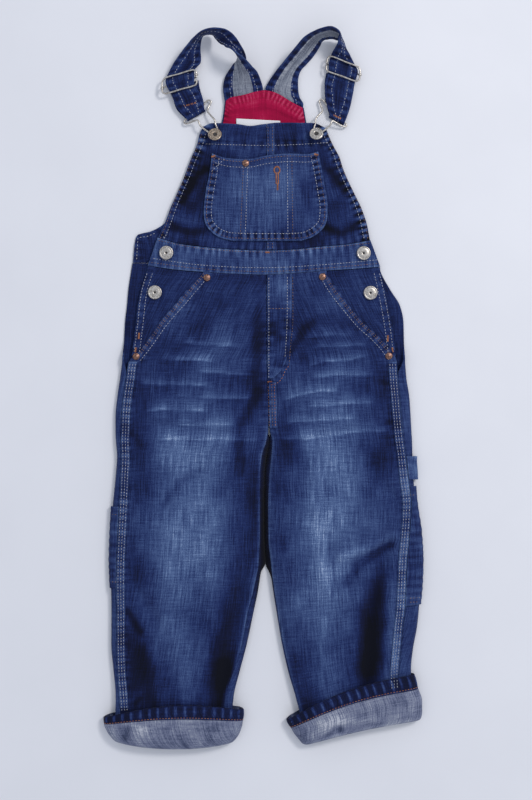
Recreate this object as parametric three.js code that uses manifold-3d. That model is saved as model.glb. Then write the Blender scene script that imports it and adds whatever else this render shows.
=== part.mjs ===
// Kids dungarees in denim, laid out face up with the cuffs turned up once.
// Millimetres. X runs to the right of the laid-out garment, Y towards the shoulder straps,
// Z up from the surface that it lies on. Left and right are those of someone looking at it.
import * as THREE from 'three';
import Module from 'manifold-3d';

const wasm = await Module();
wasm.setup();

// Cloth and clearances.
const DENIM = 1.5;            // wall of one layer of denim
const FACING = 1.0;           // wall of the light cotton facing and of the label
const STRAP = 1.4;            // wall of a shoulder strap
const CLEAR = 0.3;            // gap between pieces at a seam and where they lie on each other
const HEM_RISE = 0.6;         // how far a turned-in hem stands up
const SIDE_HEM = 8;           // width of the hems at the bib's sides
const TOP_HEM = 19.5;         // depth of the hem at the bib's top
const SEAM_STRIP = 0.8;       // wall of a felled seam's upper layer
const FELL_WIDTH = 9.3;       // width of the felled outside leg seams

// Overall places.
const CENTRE_SEAM_X = 3;      // centre front seam of the bib and the hips
const WAIST_Y = 124.5;        // where the legs start, at the centre front
const BACK_WAIST_Y = 137;     // seam between the back bib and the back of the legs
const BACK_TOP_SIDE_Y = 309;  // where the curve of the back's top begins at its sides
const HIP_FADE = 51.5;        // below this depth the waist seam's curve has no effect
const VENT_END_Y = 36;        // lower end of the buttoned side openings

// Metal parts.
const WIRE = 0.95;            // radius of the wire of hooks and sliders
const BUTTON_SIDES = 14;
const RIVET_SIDES = 12;
const BIB_BUTTON_TILT = 0.36; // the hooks pull the bib buttons towards the straps, radians

// The colours of cloth and metal.
const CLOTH = {
  denim: { color: 0x26355f, roughness: 0.92, metalness: 0 },
  reverse: { color: 0x8d93a8, roughness: 0.95, metalness: 0 },
  facing: { color: 0xb5103f, roughness: 0.85, metalness: 0 },
  label: { color: 0xe9e9ee, roughness: 0.8, metalness: 0 },
  nickel: { color: 0xb9b4ae, roughness: 0.35, metalness: 1 },
  copper: { color: 0x8a4a2a, roughness: 0.45, metalness: 1 },
};

const garment = new THREE.Group();

// Small helpers for numbers and tables.
const mix = (a, b, t) => a + (b - a) * t;
const clamp01 = (t) => Math.min(1, Math.max(0, t));
const smooth = (t) => clamp01(t) ** 2 * (3 - 2 * clamp01(t));

function table(columns, rows) {
  return rows.map((row) => Object.fromEntries(columns.map((name, i) => [name, row[i]])));
}

// Value of one column at a place along another, straight between the rows.
function look(rows, key, at, column) {
  const rising = rows[rows.length - 1][key] > rows[0][key];
  const order = rising ? rows : [...rows].reverse();
  if (at <= order[0][key]) return order[0][column];
  for (let i = 1; i < order.length; i += 1) {
    if (at <= order[i][key]) {
      const t = (at - order[i - 1][key]) / (order[i][key] - order[i - 1][key]);
      return mix(order[i - 1][column], order[i][column], t);
    }
  }
  return order[order.length - 1][column];
}

// Named piece of the garment.
function place(name, geometry, finish) {
  const material = new THREE.MeshStandardMaterial({ ...finish, name: `${name}_finish` });
  const mesh = new THREE.Mesh(geometry, material);
  mesh.name = name;
  garment.add(mesh);
  return mesh;
}

// Closed mesh from points and triangles, turned so that its faces point out.
function closedMesh(points, triangles) {
  let volume = 0;
  for (const [a, b, c] of triangles) {
    volume += points[a].dot(new THREE.Vector3().crossVectors(points[b], points[c]));
  }
  const index = triangles.flatMap(([a, b, c]) => (volume > 0 ? [a, b, c] : [a, c, b]));
  const geometry = new THREE.BufferGeometry();
  geometry.setAttribute('position', new THREE.Float32BufferAttribute(points.flatMap((p) => p.toArray()), 3));
  geometry.setIndex(index);
  geometry.computeVertexNormals();
  return geometry;
}

// Wall of cloth between two grids of points with the same rows and columns.
function wall(outer, inner) {
  const rows = outer.length;
  const columns = outer[0].length;
  const points = [...outer.flat(), ...inner.flat()];
  const out = (r, c) => r * columns + c;
  const inn = (r, c) => rows * columns + r * columns + c;
  const triangles = [];
  const quad = (a, b, c, d) => triangles.push([a, b, c], [a, c, d]);
  for (let r = 0; r + 1 < rows; r += 1) {
    for (let c = 0; c + 1 < columns; c += 1) {
      quad(out(r, c), out(r + 1, c), out(r + 1, c + 1), out(r, c + 1));
      quad(inn(r, c), inn(r, c + 1), inn(r + 1, c + 1), inn(r + 1, c));
    }
    quad(out(r, 0), inn(r, 0), inn(r + 1, 0), out(r + 1, 0));
    quad(out(r, columns - 1), out(r + 1, columns - 1), inn(r + 1, columns - 1), inn(r, columns - 1));
  }
  for (let c = 0; c + 1 < columns; c += 1) {
    quad(out(0, c), out(0, c + 1), inn(0, c + 1), inn(0, c));
    quad(out(rows - 1, c), inn(rows - 1, c), inn(rows - 1, c + 1), out(rows - 1, c + 1));
  }
  return closedMesh(points, triangles);
}

// Ring of cloth: a closed profile carried round a closed loop.
function ringWall(grid) {
  const rows = grid.length;
  const columns = grid[0].length;
  const at = (r, c) => (r % rows) * columns + (c % columns);
  const triangles = [];
  for (let r = 0; r < rows; r += 1) {
    for (let c = 0; c < columns; c += 1) {
      triangles.push([at(r, c), at(r + 1, c), at(r + 1, c + 1)], [at(r, c), at(r + 1, c + 1), at(r, c + 1)]);
    }
  }
  return closedMesh(grid.flat(), triangles);
}

// Flat-lying panel: rows of plan points, with the height of its top and of its underside.
function panel(rows, top, under) {
  const outer = rows.map((row) => row.map((p) => new THREE.Vector3(p.x, p.y, top(p.x, p.y))));
  const inner = rows.map((row) => row.map((p) => new THREE.Vector3(p.x, p.y, under(p.x, p.y))));
  return wall(outer, inner);
}

// Solids joined into one.
function fuse(geometries) {
  const solids = geometries.map((geometry) => {
    const soup = geometry.index ? geometry.toNonIndexed() : geometry;
    const place3 = soup.attributes.position;
    const found = new Map();
    const vertices = [];
    const triangles = [];
    for (let i = 0; i < place3.count; i += 1) {
      const xyz = [place3.getX(i), place3.getY(i), place3.getZ(i)];
      const key = xyz.map((v) => v.toFixed(4)).join(' ');
      if (!found.has(key)) {
        found.set(key, vertices.length / 3);
        vertices.push(...xyz);
      }
      triangles.push(found.get(key));
    }
    return new wasm.Manifold(new wasm.Mesh({
      numProp: 3,
      vertProperties: new Float32Array(vertices),
      triVerts: new Uint32Array(triangles),
    }));
  });
  const joined = solids.reduce((a, b) => a.add(b)).getMesh();
  const geometry = new THREE.BufferGeometry();
  geometry.setAttribute('position', new THREE.Float32BufferAttribute(joined.vertProperties, 3));
  geometry.setIndex([...joined.triVerts]);
  geometry.computeVertexNormals();
  return geometry;
}

// Outline of the waist seam, the bib and the side openings.
const BAND_TOP = table(['x', 'y'], [
  [-115, 164], [-93, 157.5], [-69, 154], [-32.5, 151], [3, 150],
  [32.5, 151], [60.5, 154], [88.5, 156.5], [115, 161],
]);
const BAND_BOTTOM = table(['x', 'y'], [
  [-125.5, 134], [-96, 129.5], [-66, 127], [-32.5, 125], [3, 124],
  [32.5, 125.5], [62.5, 128], [93, 130], [125.5, 132.5],
]);
const BIB_TOP = table(['x', 'y'], [
  [-65, 284.5], [-56, 287.5], [-30, 286.5], [-15, 284.5], [1, 286.5], [17.5, 288], [54, 287.5], [68, 282],
]);
const BIB_SIDES = table(['y', 'left', 'right'], [
  [284.5, -65.5, 67], [277, -69.5, 70], [265.5, -72.5, 75.5], [264, -73.5, 76.5], [254.5, -77.5, 81.5],
  [243.5, -82, 85], [231.5, -86.5, 90], [215.5, -93.5, 97.5], [198, -101, 105.5], [181, -107, 111],
  [162.5, -114.5, 114.5],
]);
const POCKET_SIDES = table(['y', 'left', 'right'], [
  [254, -56, 58.5], [245.5, -57, 60.5], [243, -57.5, 61], [230.5, -59.5, 63.5], [215.5, -62.5, 66],
  [200.5, -64.5, 68.5], [189.5, -65, 68.5], [178.5, -63, 66.5], [170, -56.5, 60], [164, -47.5, 51],
  [160.5, -34, 40],
]);
const POCKET_MOUTH = table(['x', 'y'], [
  [-56, 254.5], [-41.5, 249.5], [-24, 248], [-12, 248.5], [1, 251.5], [26, 254], [46.5, 253.5], [58.5, 256.5],
]);
const BACK_BIB = table(['y', 'left', 'right'], [
  [BACK_WAIST_Y + CLEAR, -142, 122], [154, -140.5, 118], [167.5, -137, 112], [170, -126.5, 110.5],
  [174.5, -115.5, 108], [182, -105.5, 104], [207, -86, 88], [242.5, -68, 70], [271.5, -54, 56],
  [288, -45.6, 46.5], [300, -43.5, 44.5], [BACK_TOP_SIDE_Y, -42.5, 43],
]);
const BACK_TOP = table(['x', 'y'], [
  [-42.5, 312], [-36.5, 316.5], [-22.5, 319.5], [-9.5, 323], [0.5, 324.5],
  [9.5, 323], [18.5, 319], [28, 313], [43, 305],
]);
const VENT_LEFT = table(['y', 'x'], [
  [134, -125.5], [125.5, -128.5], [107.5, -134], [90, -136.7],
  [73, -138.3], [59, -140], [42.5, -142], [34, -143.5],
]);
const VENT_RIGHT = table(['y', 'x'], [
  [131.5, 125.5], [115, 129.5], [92.5, 134], [69.5, 138], [50, 140.5], [34, 142.5],
]);

// Heights of the front above the surface.
const BIB_HEIGHT = table(['y', 'z'], [
  [150, 5.2], [180, 4.6], [235, 4.6], [262, 5.6], [275, 5.9], [290, 5.9],
]);
const BIB_EDGE_Z = 3.7;
const BIB_EDGE_ROLL = 15;     // width over which the bib rises from its side edges
const BAND_RISE = 0.5;        // the waistband is thicker by this

// The shallow folds that run down from the bib's top hem.
const HEM_FOLDS = table(['x', 'width', 'depth'], [
  [-52, 4, 0.4], [-33, 3.5, 0.5], [-14, 4, 0.5], [22, 4, 0.45], [38, 3.5, 0.4], [57, 4, 0.35],
]);
const HEM_MARGIN = 0.2;
const HEM_FOLD_END_Y = 235;
const HEM_FOLD_FADE = 30;

function bibBase(x, y) {
  const middle = look(BIB_HEIGHT, 'y', y, 'z');
  const toSide = Math.min(x - look(BIB_SIDES, 'y', y, 'left'), look(BIB_SIDES, 'y', y, 'right') - x);
  let z = mix(BIB_EDGE_Z, middle, smooth(toSide / BIB_EDGE_ROLL));
  for (const fold of HEM_FOLDS) {
    const reach = smooth((y - HEM_FOLD_END_Y) / HEM_FOLD_FADE);
    z -= fold.depth * reach * Math.exp(-(((x - fold.x) / fold.width) ** 2));
  }
  return z;
}

function bibTop(x, y) {
  const toSide = Math.min(x - look(BIB_SIDES, 'y', y, 'left'), look(BIB_SIDES, 'y', y, 'right') - x);
  const toTop = look(BIB_TOP, 'x', x, 'y') - y;
  const inHem = toSide < SIDE_HEM + HEM_MARGIN || toTop < TOP_HEM + HEM_MARGIN;
  return bibBase(x, y) + (inHem ? HEM_RISE : 0);
}

// Plan of the bib: rows run across it, bent to the top edge and to the waistband.
const BIB_TOP_SIDE_Y = BIB_SIDES[0].y;
const BIB_BOTTOM_SIDE_Y = BIB_SIDES[BIB_SIDES.length - 1].y;

function bibPoint(sideY, x) {
  const down = (BIB_TOP_SIDE_Y - sideY) / (BIB_TOP_SIDE_Y - BIB_BOTTOM_SIDE_Y);
  const y = mix(look(BIB_TOP, 'x', x, 'y'), look(BAND_TOP, 'x', x, 'y') + 1.5 * CLEAR, down);
  return { x, y };
}

// A row from a side edge to the centre seam: the hem's two points, the step down, then even steps.
const BIB_STEPS = 6;
function bibRow(side, from, to) {
  const steps = [0, SIDE_HEM, SIDE_HEM + 1];
  const length = Math.abs(to - from);
  const way = Math.sign(to - from);
  const free = steps[steps.length - 1];
  for (let i = 1; i <= BIB_STEPS; i += 1) steps.push(mix(free, length, i / BIB_STEPS));
  return steps.map((s) => bibPoint(side.y, from + way * s));
}

const bibUnder = (x, y) => bibBase(x, y) - DENIM;
const SEAM_HALF = CLEAR / 2;
const bibLeftRows = BIB_SIDES.map((side) => bibRow(side, side.left, CENTRE_SEAM_X - SEAM_HALF));
const bibRightRows = BIB_SIDES.map((side) => bibRow(side, side.right, CENTRE_SEAM_X + SEAM_HALF));
place('bib_left', panel(bibLeftRows, bibTop, bibUnder), CLOTH.denim);
place('bib_right', panel(bibRightRows, bibTop, bibUnder), CLOTH.denim);

// Felled centre seam of the bib, above and below the pocket. It steps up onto the top hem.
const BIB_FELL = 8;
const TOP_HEM_FOOT_Y = 264;
function bibSeam(fromY, toY, steps) {
  const rows = [];
  for (let i = 0; i <= steps; i += 1) {
    const y = mix(fromY, toY, i / steps);
    rows.push([0, 0.5, 1].map((t) => ({ x: CENTRE_SEAM_X + SEAM_HALF + t * BIB_FELL, y })));
  }
  const under = (x, y) => bibBase(x, y) + CLEAR + (y > TOP_HEM_FOOT_Y ? HEM_RISE : 0);
  return panel(rows, (x, y) => under(x, y) + SEAM_STRIP, under);
}
place('bib_seam_upper', bibSeam(286, 178, 9), CLOTH.denim);
place('bib_seam_lower', bibSeam(159.5, 151.2, 1), CLOTH.denim);

// Bib pocket: it bows away from the bib over the centre seam, with a raised hem all round.
const POCKET_CLOTH = 1.2;
const POCKET_BOW = 1.5;       // how far it stands off the bib in its middle
const POCKET_BOW_SIDE = 0.2;  // share of its width over which it bows out
const POCKET_BOW_END = 0.16;  // share of its height over which it closes to the bib at its bottom
const POCKET_HEM_RISE = 0.5;
const POCKET_HEM_SIDE = 0.07; // hem at the sides, a share of the width
const POCKET_HEM_TOP = 0.1;   // hem at the mouth, a share of the height
const POCKET_HEM_END = 0.95;  // where the bottom hem starts, a share of the height
const POCKET_TOP_Y = POCKET_SIDES[0].y;
const POCKET_BOTTOM_Y = POCKET_SIDES[POCKET_SIDES.length - 1].y;

function pocketPoint(side, across) {
  const x = mix(side.left, side.right, across);
  const mouth = look(POCKET_MOUTH, 'x', x, 'y') - POCKET_TOP_Y;
  const down = (POCKET_TOP_Y - side.y) / (POCKET_TOP_Y - POCKET_BOTTOM_Y);
  return { x, y: side.y + mouth * (1 - down) ** 3, across, down };
}

const POCKET_ACROSS = [0, 0.068, 0.076, 0.18, 0.28, 0.4, 0.47, 0.53, 0.6, 0.72, 0.82, 0.924, 0.932, 1];
const pocketRows = POCKET_SIDES.map((side) => POCKET_ACROSS.map((t) => pocketPoint(side, t)));
const pocketOuter = [];
const pocketInner = [];
for (const row of pocketRows) {
  pocketOuter.push([]);
  pocketInner.push([]);
  for (const p of row) {
    const toSide = Math.min(p.across, 1 - p.across);
    const bow = smooth(toSide / POCKET_BOW_SIDE) * smooth((1 - p.down) / POCKET_BOW_END);
    const base = bibTop(p.x, p.y) + CLEAR + POCKET_BOW * bow;
    const inHem = toSide < POCKET_HEM_SIDE || p.down < POCKET_HEM_TOP || p.down > POCKET_HEM_END;
    const rise = inHem ? POCKET_HEM_RISE : 0;
    pocketOuter.at(-1).push(new THREE.Vector3(p.x, p.y, base + POCKET_CLOTH + rise));
    pocketInner.at(-1).push(new THREE.Vector3(p.x, p.y, base));
  }
}
place('bib_pocket', wall(pocketOuter, pocketInner), CLOTH.denim);

// Waistband across the front.
const BAND_STEPS = 18;
const BAND_TOP_HALF = 115;
const BAND_BOTTOM_HALF = 125.5;
const BAND_MIDDLE_Z = 5.6;
const BAND_SIDE_Z = 5.1;
const BAND_HALF = 60;         // the band is level this far to each side, then drops over as much again
const bandBase = (x) => mix(BAND_MIDDLE_Z, BAND_SIDE_Z, smooth((Math.abs(x) - BAND_HALF) / BAND_HALF));
const bandRows = [0, 0.5, 1].map((down) => {
  const row = [];
  for (let i = 0; i <= BAND_STEPS; i += 1) {
    const t = i / BAND_STEPS;
    const topX = mix(-BAND_TOP_HALF, BAND_TOP_HALF, t);
    const bottomX = mix(-BAND_BOTTOM_HALF, BAND_BOTTOM_HALF, t);
    row.push({
      x: mix(topX, bottomX, down),
      y: mix(look(BAND_TOP, 'x', topX, 'y'), look(BAND_BOTTOM, 'x', bottomX, 'y'), down),
    });
  }
  return row;
});
const bandTop = (x) => bandBase(x) + BAND_RISE;
place('waistband', panel(bandRows, bandTop, (x) => bandBase(x) - DENIM), CLOTH.denim);

// Legs. Each row is one section across a leg, from its outside to its inside. The front lies
// on top from the outside seam to the inseam; the back lies on the surface and rolls round
// both folds to meet it. Above the crotch both halves reach the centre seams instead.
const LEG_COLUMNS = [
  'y', 'outerX', 'edgeX', 'innerX', 'innerY', 'crown', 'outerZ', 'innerZ',
  'wrap', 'fold', 'inseam', 'floor', 'bow',
];
const LEFT_LEG = table(LEG_COLUMNS, [
  [BACK_WAIST_Y - CLEAR, -142.5, -66, 3, BACK_WAIST_Y - CLEAR, 6.2, 4.2, 5.6, 0, 0, 0.15, 0, 0],
  [124.5, -144.5, -66, 3, 124.5, 6.2, 4.2, 5.6, 0, 0, 0.15, 0, 0],
  [107.5, -147, -81.5, 3, 107.5, 6.8, 4.2, 5.6, 0, 0, 0.15, 0, 0],
  [90, -148.5, -96.5, 3, 90, 7.4, 4.2, 5.6, 0, 0, 0.15, 0, 0],
  [73, -150.5, -112, 3, 73, 8, 4.2, 5.5, 0, 0, 0.15, 0, 0],
  [55.5, -151.5, -124, 3, 55.5, 8.6, 4.2, 5.4, 0, 0, 0.15, 0, 0],
  [42.5, -152.5, -133.5, 3.3, 42.5, 9.2, 4.3, 5.3, 0.25, 0, 0.15, 0, 0],
  [30, -153.5, -145.5, 3.5, 30, 9.6, 4.4, 5.2, 0.6, 0, 0.15, 0, 0],
  [14, -155.3, -148, 4, 14, 10.3, 4.5, 5.1, 1, 0, 0.15, 0, 0],
  [-8, -158.5, -151.3, 4.6, -8, 11.2, 4.5, 5, 1, 0, 0.15, 0, 0],
  [-30, -160.5, -153.2, 5.1, -30, 12, 4.5, 5, 1, 0, 0.15, 0, 0],
  [-45, -160.5, -153.7, 5.2, -45, 12.4, 4.5, 4.9, 1, 0.5, 0.8, 0, 0],
  [-56, -160, -154, 3.8, -56, 12.7, 4.5, 4.6, 1, 1, 1.5, 0, 0],
  [-72, -158.7, -153.5, -1, -72, 13, 4.5, 4.5, 1, 1, 1.5, 0, 0],
  [-96, -160.5, -154.5, -3, -96, 13.2, 4.5, 4.5, 1, 1, 1.5, 0, 0],
  [-124, -163.2, -155.7, -3, -124, 13.4, 4.5, 4.5, 1, 1, 1.5, 0, 0],
  [-155, -165.2, -157.2, -2.6, -155, 13.6, 4.5, 4.5, 1, 1, 1.8, 0, 0],
  [-186, -166, -158.5, -2.6, -186, 13.6, 4.5, 4.5, 1, 1, 3, 0, 0],
  [-212, -165.3, -158.8, -5.5, -212, 13.6, 4.5, 4.5, 1, 1, 5, 0, 0],
  [-242, -164.8, -158.5, -11.5, -242, 13.6, 4.5, 4.5, 1, 1, 6.5, 0, 0],
  [-275, -165, -158.5, -18.5, -275, 13.6, 4.5, 4.5, 1, 1, 5.5, 0, 0],
  [-304, -162.5, -157.7, -26, -304, 13.8, 4.6, 4.6, 1, 1, 7, 0.4, 0],
  [-331, -160, -155.5, -32.5, -331, 14.2, 6.9, 6.9, 1, 1, 9, 2.5, 2],
  [-352, -160.5, -154.5, -34, -350, 14.3, 7.2, 7.2, 1, 1, 9.5, 2.75, 3],
  [-370, -164, -157, -30.5, -370.5, 13.6, 7.2, 7.2, 1, 1, 9.5, 2.75, -4],
]);
const RIGHT_LEG = table(LEG_COLUMNS, [
  [BACK_WAIST_Y - CLEAR, 123, 67.5, 3, BACK_WAIST_Y - CLEAR, 6.2, 4.2, 5.6, 0, 0, 0.15, 0, 0],
  [124.5, 127.5, 67.5, 3, 124.5, 6.2, 4.2, 5.6, 0, 0, 0.15, 0, 0],
  [107.5, 137, 78, 3, 107.5, 6.8, 4.2, 5.6, 0, 0, 0.15, 0, 0],
  [90, 147.5, 91.5, 3, 90, 7.4, 4.2, 5.6, 0, 0, 0.15, 0, 0],
  [73, 151, 106.5, 3, 73, 8, 4.2, 5.5, 0, 0, 0.15, 0, 0],
  [55.5, 151.5, 125.5, 3, 55.5, 8.6, 4.2, 5.4, 0, 0, 0.15, 0, 0],
  [42.5, 152, 137.5, 3.3, 42.5, 9.2, 4.3, 5.3, 0.25, 0, 0.15, 0, 0],
  [30, 152.7, 143, 3.5, 30, 9.6, 4.4, 5.2, 0.6, 0, 0.15, 0, 0],
  [14, 153.7, 143.8, 4, 14, 10.3, 4.5, 5.1, 1, 0, 0.15, 0, 0],
  [-8, 157, 145.8, 4.6, -8, 11.2, 4.5, 5, 1, 0, 0.15, 0, 0],
  [-30, 158.5, 147.5, 5.1, -30, 12, 4.5, 5, 1, 0, 0.15, 0, 0],
  [-45, 159.3, 149, 5.7, -45, 12.4, 4.5, 4.9, 1, 0.5, 0.8, 0, 0],
  [-56, 160, 150.2, 7.4, -56, 12.7, 4.5, 4.6, 1, 1, 1.5, 0, 0],
  [-72, 160.4, 152.5, 6.4, -72, 13, 4.5, 4.5, 1, 1, 1.5, 0, 0],
  [-96, 161.5, 155, 4, -96, 13.2, 4.5, 4.5, 1, 1, 1.5, 0, 0],
  [-124, 164, 158.2, 3, -124, 13.4, 4.5, 4.5, 1, 1, 1.5, 0, 0],
  [-155, 168.3, 156.3, 3, -155, 13.6, 4.5, 4.5, 1, 1, 1.5, 0, 0],
  [-186, 170, 153.5, 6, -188.5, 13.6, 4.5, 4.5, 1, 1, 1.5, 0, 0],
  [-208, 169.5, 152.5, 9.5, -216, 13.6, 4.5, 4.5, 1, 1, 1.5, 0, 0],
  [-229, 168, 151.4, 13.5, -241, 13.6, 4.5, 4.5, 1, 1, 1.5, 0, 0],
  [-255, 165.5, 148.5, 19, -274, 13.6, 4.5, 4.5, 1, 1, 1.8, 0, 0],
  [-280, 161, 146, 26, -305, 13.8, 4.6, 4.6, 1, 1, 2, 0.4, 0],
  [-301, 158.6, 144.5, 34.5, -334, 14.2, 6.9, 6.9, 1, 1, 2, 2.5, 3],
  [-322, 160.5, 145.5, 39, -355, 14.3, 7.2, 7.2, 1, 1, 2, 2.75, 6],
  [-343, 168, 151, 39, -374.2, 13.6, 7.2, 7.2, 1, 1, 2, 2.75, 4.5],
]);
const LEG_TOP_ROW = 1;        // the first row is the back's alone
const OUTER_ROLL = 46;        // width of the soft roll at the outside fold
const INNER_ROLL = 34;        // width of the roll at the inside fold
const CENTRE_SLOPE = 70;      // width of the slope down to the centre seam
const FOLD_REACH = 5;         // how far a side fold's round reaches in underneath

// The largest creases: troughs pressed into the fronts, from one end to the other.
const CREASES = table(['x1', 'y1', 'x2', 'y2', 'width', 'depth'], [
  [-12, -85, -24, -215, 9, 3.2], [-24, -215, -46, -330, 8, 4.2], [-118, -128, -72, -86, 7, 1.6],
  [-143, -205, -120, -244, 7, 2.2], [130, -172, 116, -232, 9, 4.2], [116, -232, 112, -318, 9, 4.6],
  [88, -196, 128, -166, 6, 1.4], [112, -82, 141, -120, 7, 2.2], [28, -60, 92, -44, 6, 1.4],
  [-120, -38, -40, -48, 6, 1.4], [-124, 40, -30, 36, 6, 1.1], [40, 44, 112, 24, 6, 1.2],
  [34, 90, 44, 30, 7, 1.3],
]);

function creaseDepth(x, y) {
  let depth = 0;
  for (const c of CREASES) {
    const length = Math.hypot(c.x2 - c.x1, c.y2 - c.y1);
    const along = ((x - c.x1) * (c.x2 - c.x1) + (y - c.y1) * (c.y2 - c.y1)) / length;
    const across = ((x - c.x1) * (c.y2 - c.y1) - (y - c.y1) * (c.x2 - c.x1)) / length;
    const past = Math.max(0, -along, along - length);
    depth += c.depth * Math.exp(-((across / c.width) ** 2) - (past / (2 * c.width)) ** 2);
  }
  return depth;
}

const ROLL_POWER = 2.2;       // 2 is a true quarter round
const roll = (t) => Math.sqrt(Math.max(0, 1 - (1 - clamp01(t)) ** ROLL_POWER));

// Of the two directions square to a section's line, the one towards the straps.
const upward = (along) => new THREE.Vector2(-along.y, along.x).multiplyScalar(Math.sign(along.x));

// The back's outside edge where it stands free in the side opening, and where it lies open.
const BACK_STANDING = table(['s', 'z'], [
  [0.3, 8.4], [0.1, 6.8], [0, 5.2], [0.2, 3.6], [0.8, 2], [2.2, 0.7], [4.6, 0],
]);
const FLAT_EDGE = [8.4, 6.8, 5.2, 3.6, 2, SEAM_HALF];
const BACK_FLAT = table(['s', 'z'], [[0, 0], [1.4, 0], [2.8, 0], [4.2, 0], [5.6, 0], [7, 0], [8.4, 0]]);

// A leg section with its own axes: s runs in from the outside fold, z up.
class Section {
  constructor(row) {
    Object.assign(this, row);
    this.outer = new THREE.Vector2(row.outerX, row.y);
    this.inner = new THREE.Vector2(row.innerX, row.innerY);
    this.width = this.outer.distanceTo(this.inner);
    this.along = this.inner.clone().sub(this.outer).divideScalar(this.width);
    this.up = upward(this.along);
    this.edge = Math.abs(row.edgeX - row.outerX) / Math.abs(this.along.x);
  }

  plan(s) {
    const t = s / this.width;
    const bend = this.bow * 4 * t * (1 - t);
    return this.outer.clone().addScaledVector(this.along, s).addScaledVector(this.up, bend);
  }

  // Height of the front's top.
  top(s) {
    const out = roll(s / OUTER_ROLL);
    const left = this.width - s;
    const inn = mix(Math.sin(clamp01(left / CENTRE_SLOPE) * Math.PI / 2), roll(left / INNER_ROLL), this.fold);
    const base = this.outerZ + (this.crown - this.outerZ) * out - (this.crown - this.innerZ) * (1 - inn);
    const p = this.plan(s);
    return base - creaseDepth(p.x, p.y) * out * inn;
  }

  // Direction of the front's top at s, and its normal.
  lean(s) {
    const step = 0.5;
    const along = new THREE.Vector2(2 * step, this.top(s + step) - this.top(s - step)).normalize();
    return { along, normal: new THREE.Vector2(-along.y, along.x) };
  }

  // The front's line from s = from to s = to, closer together where it turns down.
  frontLine(from, to, steps) {
    const line = [];
    for (let i = 0; i <= steps; i += 1) {
      const even = i / steps;
      const eased = (1 - Math.cos(Math.PI * even)) / 2;
      const s = mix(from, to, mix(even, eased, 0.6));
      line.push({ s, z: this.top(s), normal: this.lean(s).normal });
    }
    return line;
  }

  // End of the back at a seam: the front's edge at s, moved away along it by the gap.
  seamEnd(s, gap) {
    const { along, normal } = this.lean(s);
    return { s: s + along.x * gap, z: this.top(s) + along.y * gap, normal: normal.clone().negate() };
  }

  // The back's line: over the outside fold, along the surface and up the inside fold.
  backLine() {
    const seam = this.seamEnd(this.edge, -CLEAR);
    const quarter = [0, 30, 60, 90].map((degree) => (degree * Math.PI) / 180);
    const folded = [seam];
    for (const t of [0.5, 0.15]) folded.push({ s: seam.s * t, z: this.top(seam.s * t) });
    for (const angle of quarter) {
      folded.push({
        s: FOLD_REACH * (1 - Math.cos(angle)),
        z: this.floor + (this.outerZ - this.floor) * (1 - Math.sin(angle)),
      });
    }
    const lying = this.wrap < 0.5;
    const low = lying ? BACK_FLAT : BACK_STANDING;
    const high = lying ? BACK_STANDING : folded;
    const t = lying ? this.wrap * 2 : this.wrap * 2 - 1;
    const line = low.map((p, i) => ({ s: mix(p.s, high[i].s, t), z: mix(p.z, high[i].z, t) }));
    if (this.wrap === 1) line[0] = seam;
    const floorFrom = line.at(-1).s;
    const reach = mix(FLAT_EDGE[0], FOLD_REACH, this.fold);
    for (const part of [0.25, 0.5, 0.75]) {
      line.push({ s: mix(floorFrom, this.width - reach, part), z: this.floor });
    }
    const inseamEnd = this.seamEnd(this.width - this.inseam, CLEAR);
    const risen = quarter.map((angle) => ({
      s: this.width - FOLD_REACH * (1 - Math.sin(angle)),
      z: this.floor + (this.innerZ - SEAM_HALF - this.floor) * (1 - Math.cos(angle)),
    }));
    const half = (this.width - inseamEnd.s) / 2;
    risen.push({ s: this.width - half, z: this.top(this.width - half) }, inseamEnd);
    const level = FLAT_EDGE.map((back) => ({ s: this.width - back, z: this.floor }));
    level.forEach((p, i) => {
      line.push({ s: mix(p.s, risen[i].s, this.fold), z: mix(p.z, risen[i].z, this.fold) });
    });
    if (this.fold === 1) line[line.length - 1] = inseamEnd;
    return line;
  }

  // Points of a line moved along its left-hand normal.
  moved(line, by) {
    return line.map((p, i) => {
      const before = line[Math.max(0, i - 1)];
      const after = line[Math.min(line.length - 1, i + 1)];
      const normal = p.normal ?? new THREE.Vector2(-(after.z - before.z), after.s - before.s).normalize();
      const amount = typeof by === 'function' ? by(i) : by;
      const s = p.s + normal.x * amount;
      const at = this.plan(s);
      return new THREE.Vector3(at.x, at.y, p.z + normal.y * amount);
    });
  }
}

// The front's upper rows follow the waist seam's curve.
function waistBend(point) {
  const bend = look(BAND_BOTTOM, 'x', point.x, 'y') - CLEAR - WAIST_Y;
  point.y += bend * smooth((point.y - (WAIST_Y - HIP_FADE)) / HIP_FADE);
  return point;
}

function rowAt(leg, y) {
  return Object.fromEntries(LEG_COLUMNS.map((name) => [name, look(leg, 'y', y, name)]));
}

const sectionAt = (leg, y) => new Section(rowAt(leg, y));

const FRONT_STEPS = 10;

function frontRows(leg, from, to, lift, thickness, steps, rows) {
  const outer = [];
  const inner = [];
  for (const row of rows) {
    const section = new Section(row);
    const line = section.frontLine(from(section), to(section), steps);
    outer.push(section.moved(line, lift + thickness).map(waistBend));
    inner.push(section.moved(line, lift).map(waistBend));
  }
  return wall(outer, inner);
}

// Two lines with the wall between them: the front's own points carry what lies on it.
function frontPanel(leg) {
  const from = (section) => section.edge;
  const to = (section) => section.width - Math.max(section.inseam, SEAM_HALF);
  return frontRows(leg, from, to, -DENIM, DENIM, FRONT_STEPS, leg.slice(LEG_TOP_ROW));
}

function backPanel(leg) {
  const outer = [];
  const inner = [];
  for (const row of leg) {
    const section = new Section(row);
    const line = section.backLine();
    outer.push(section.moved(line, 0));
    inner.push(section.moved(line, DENIM));
  }
  return wall(outer, inner);
}

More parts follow.
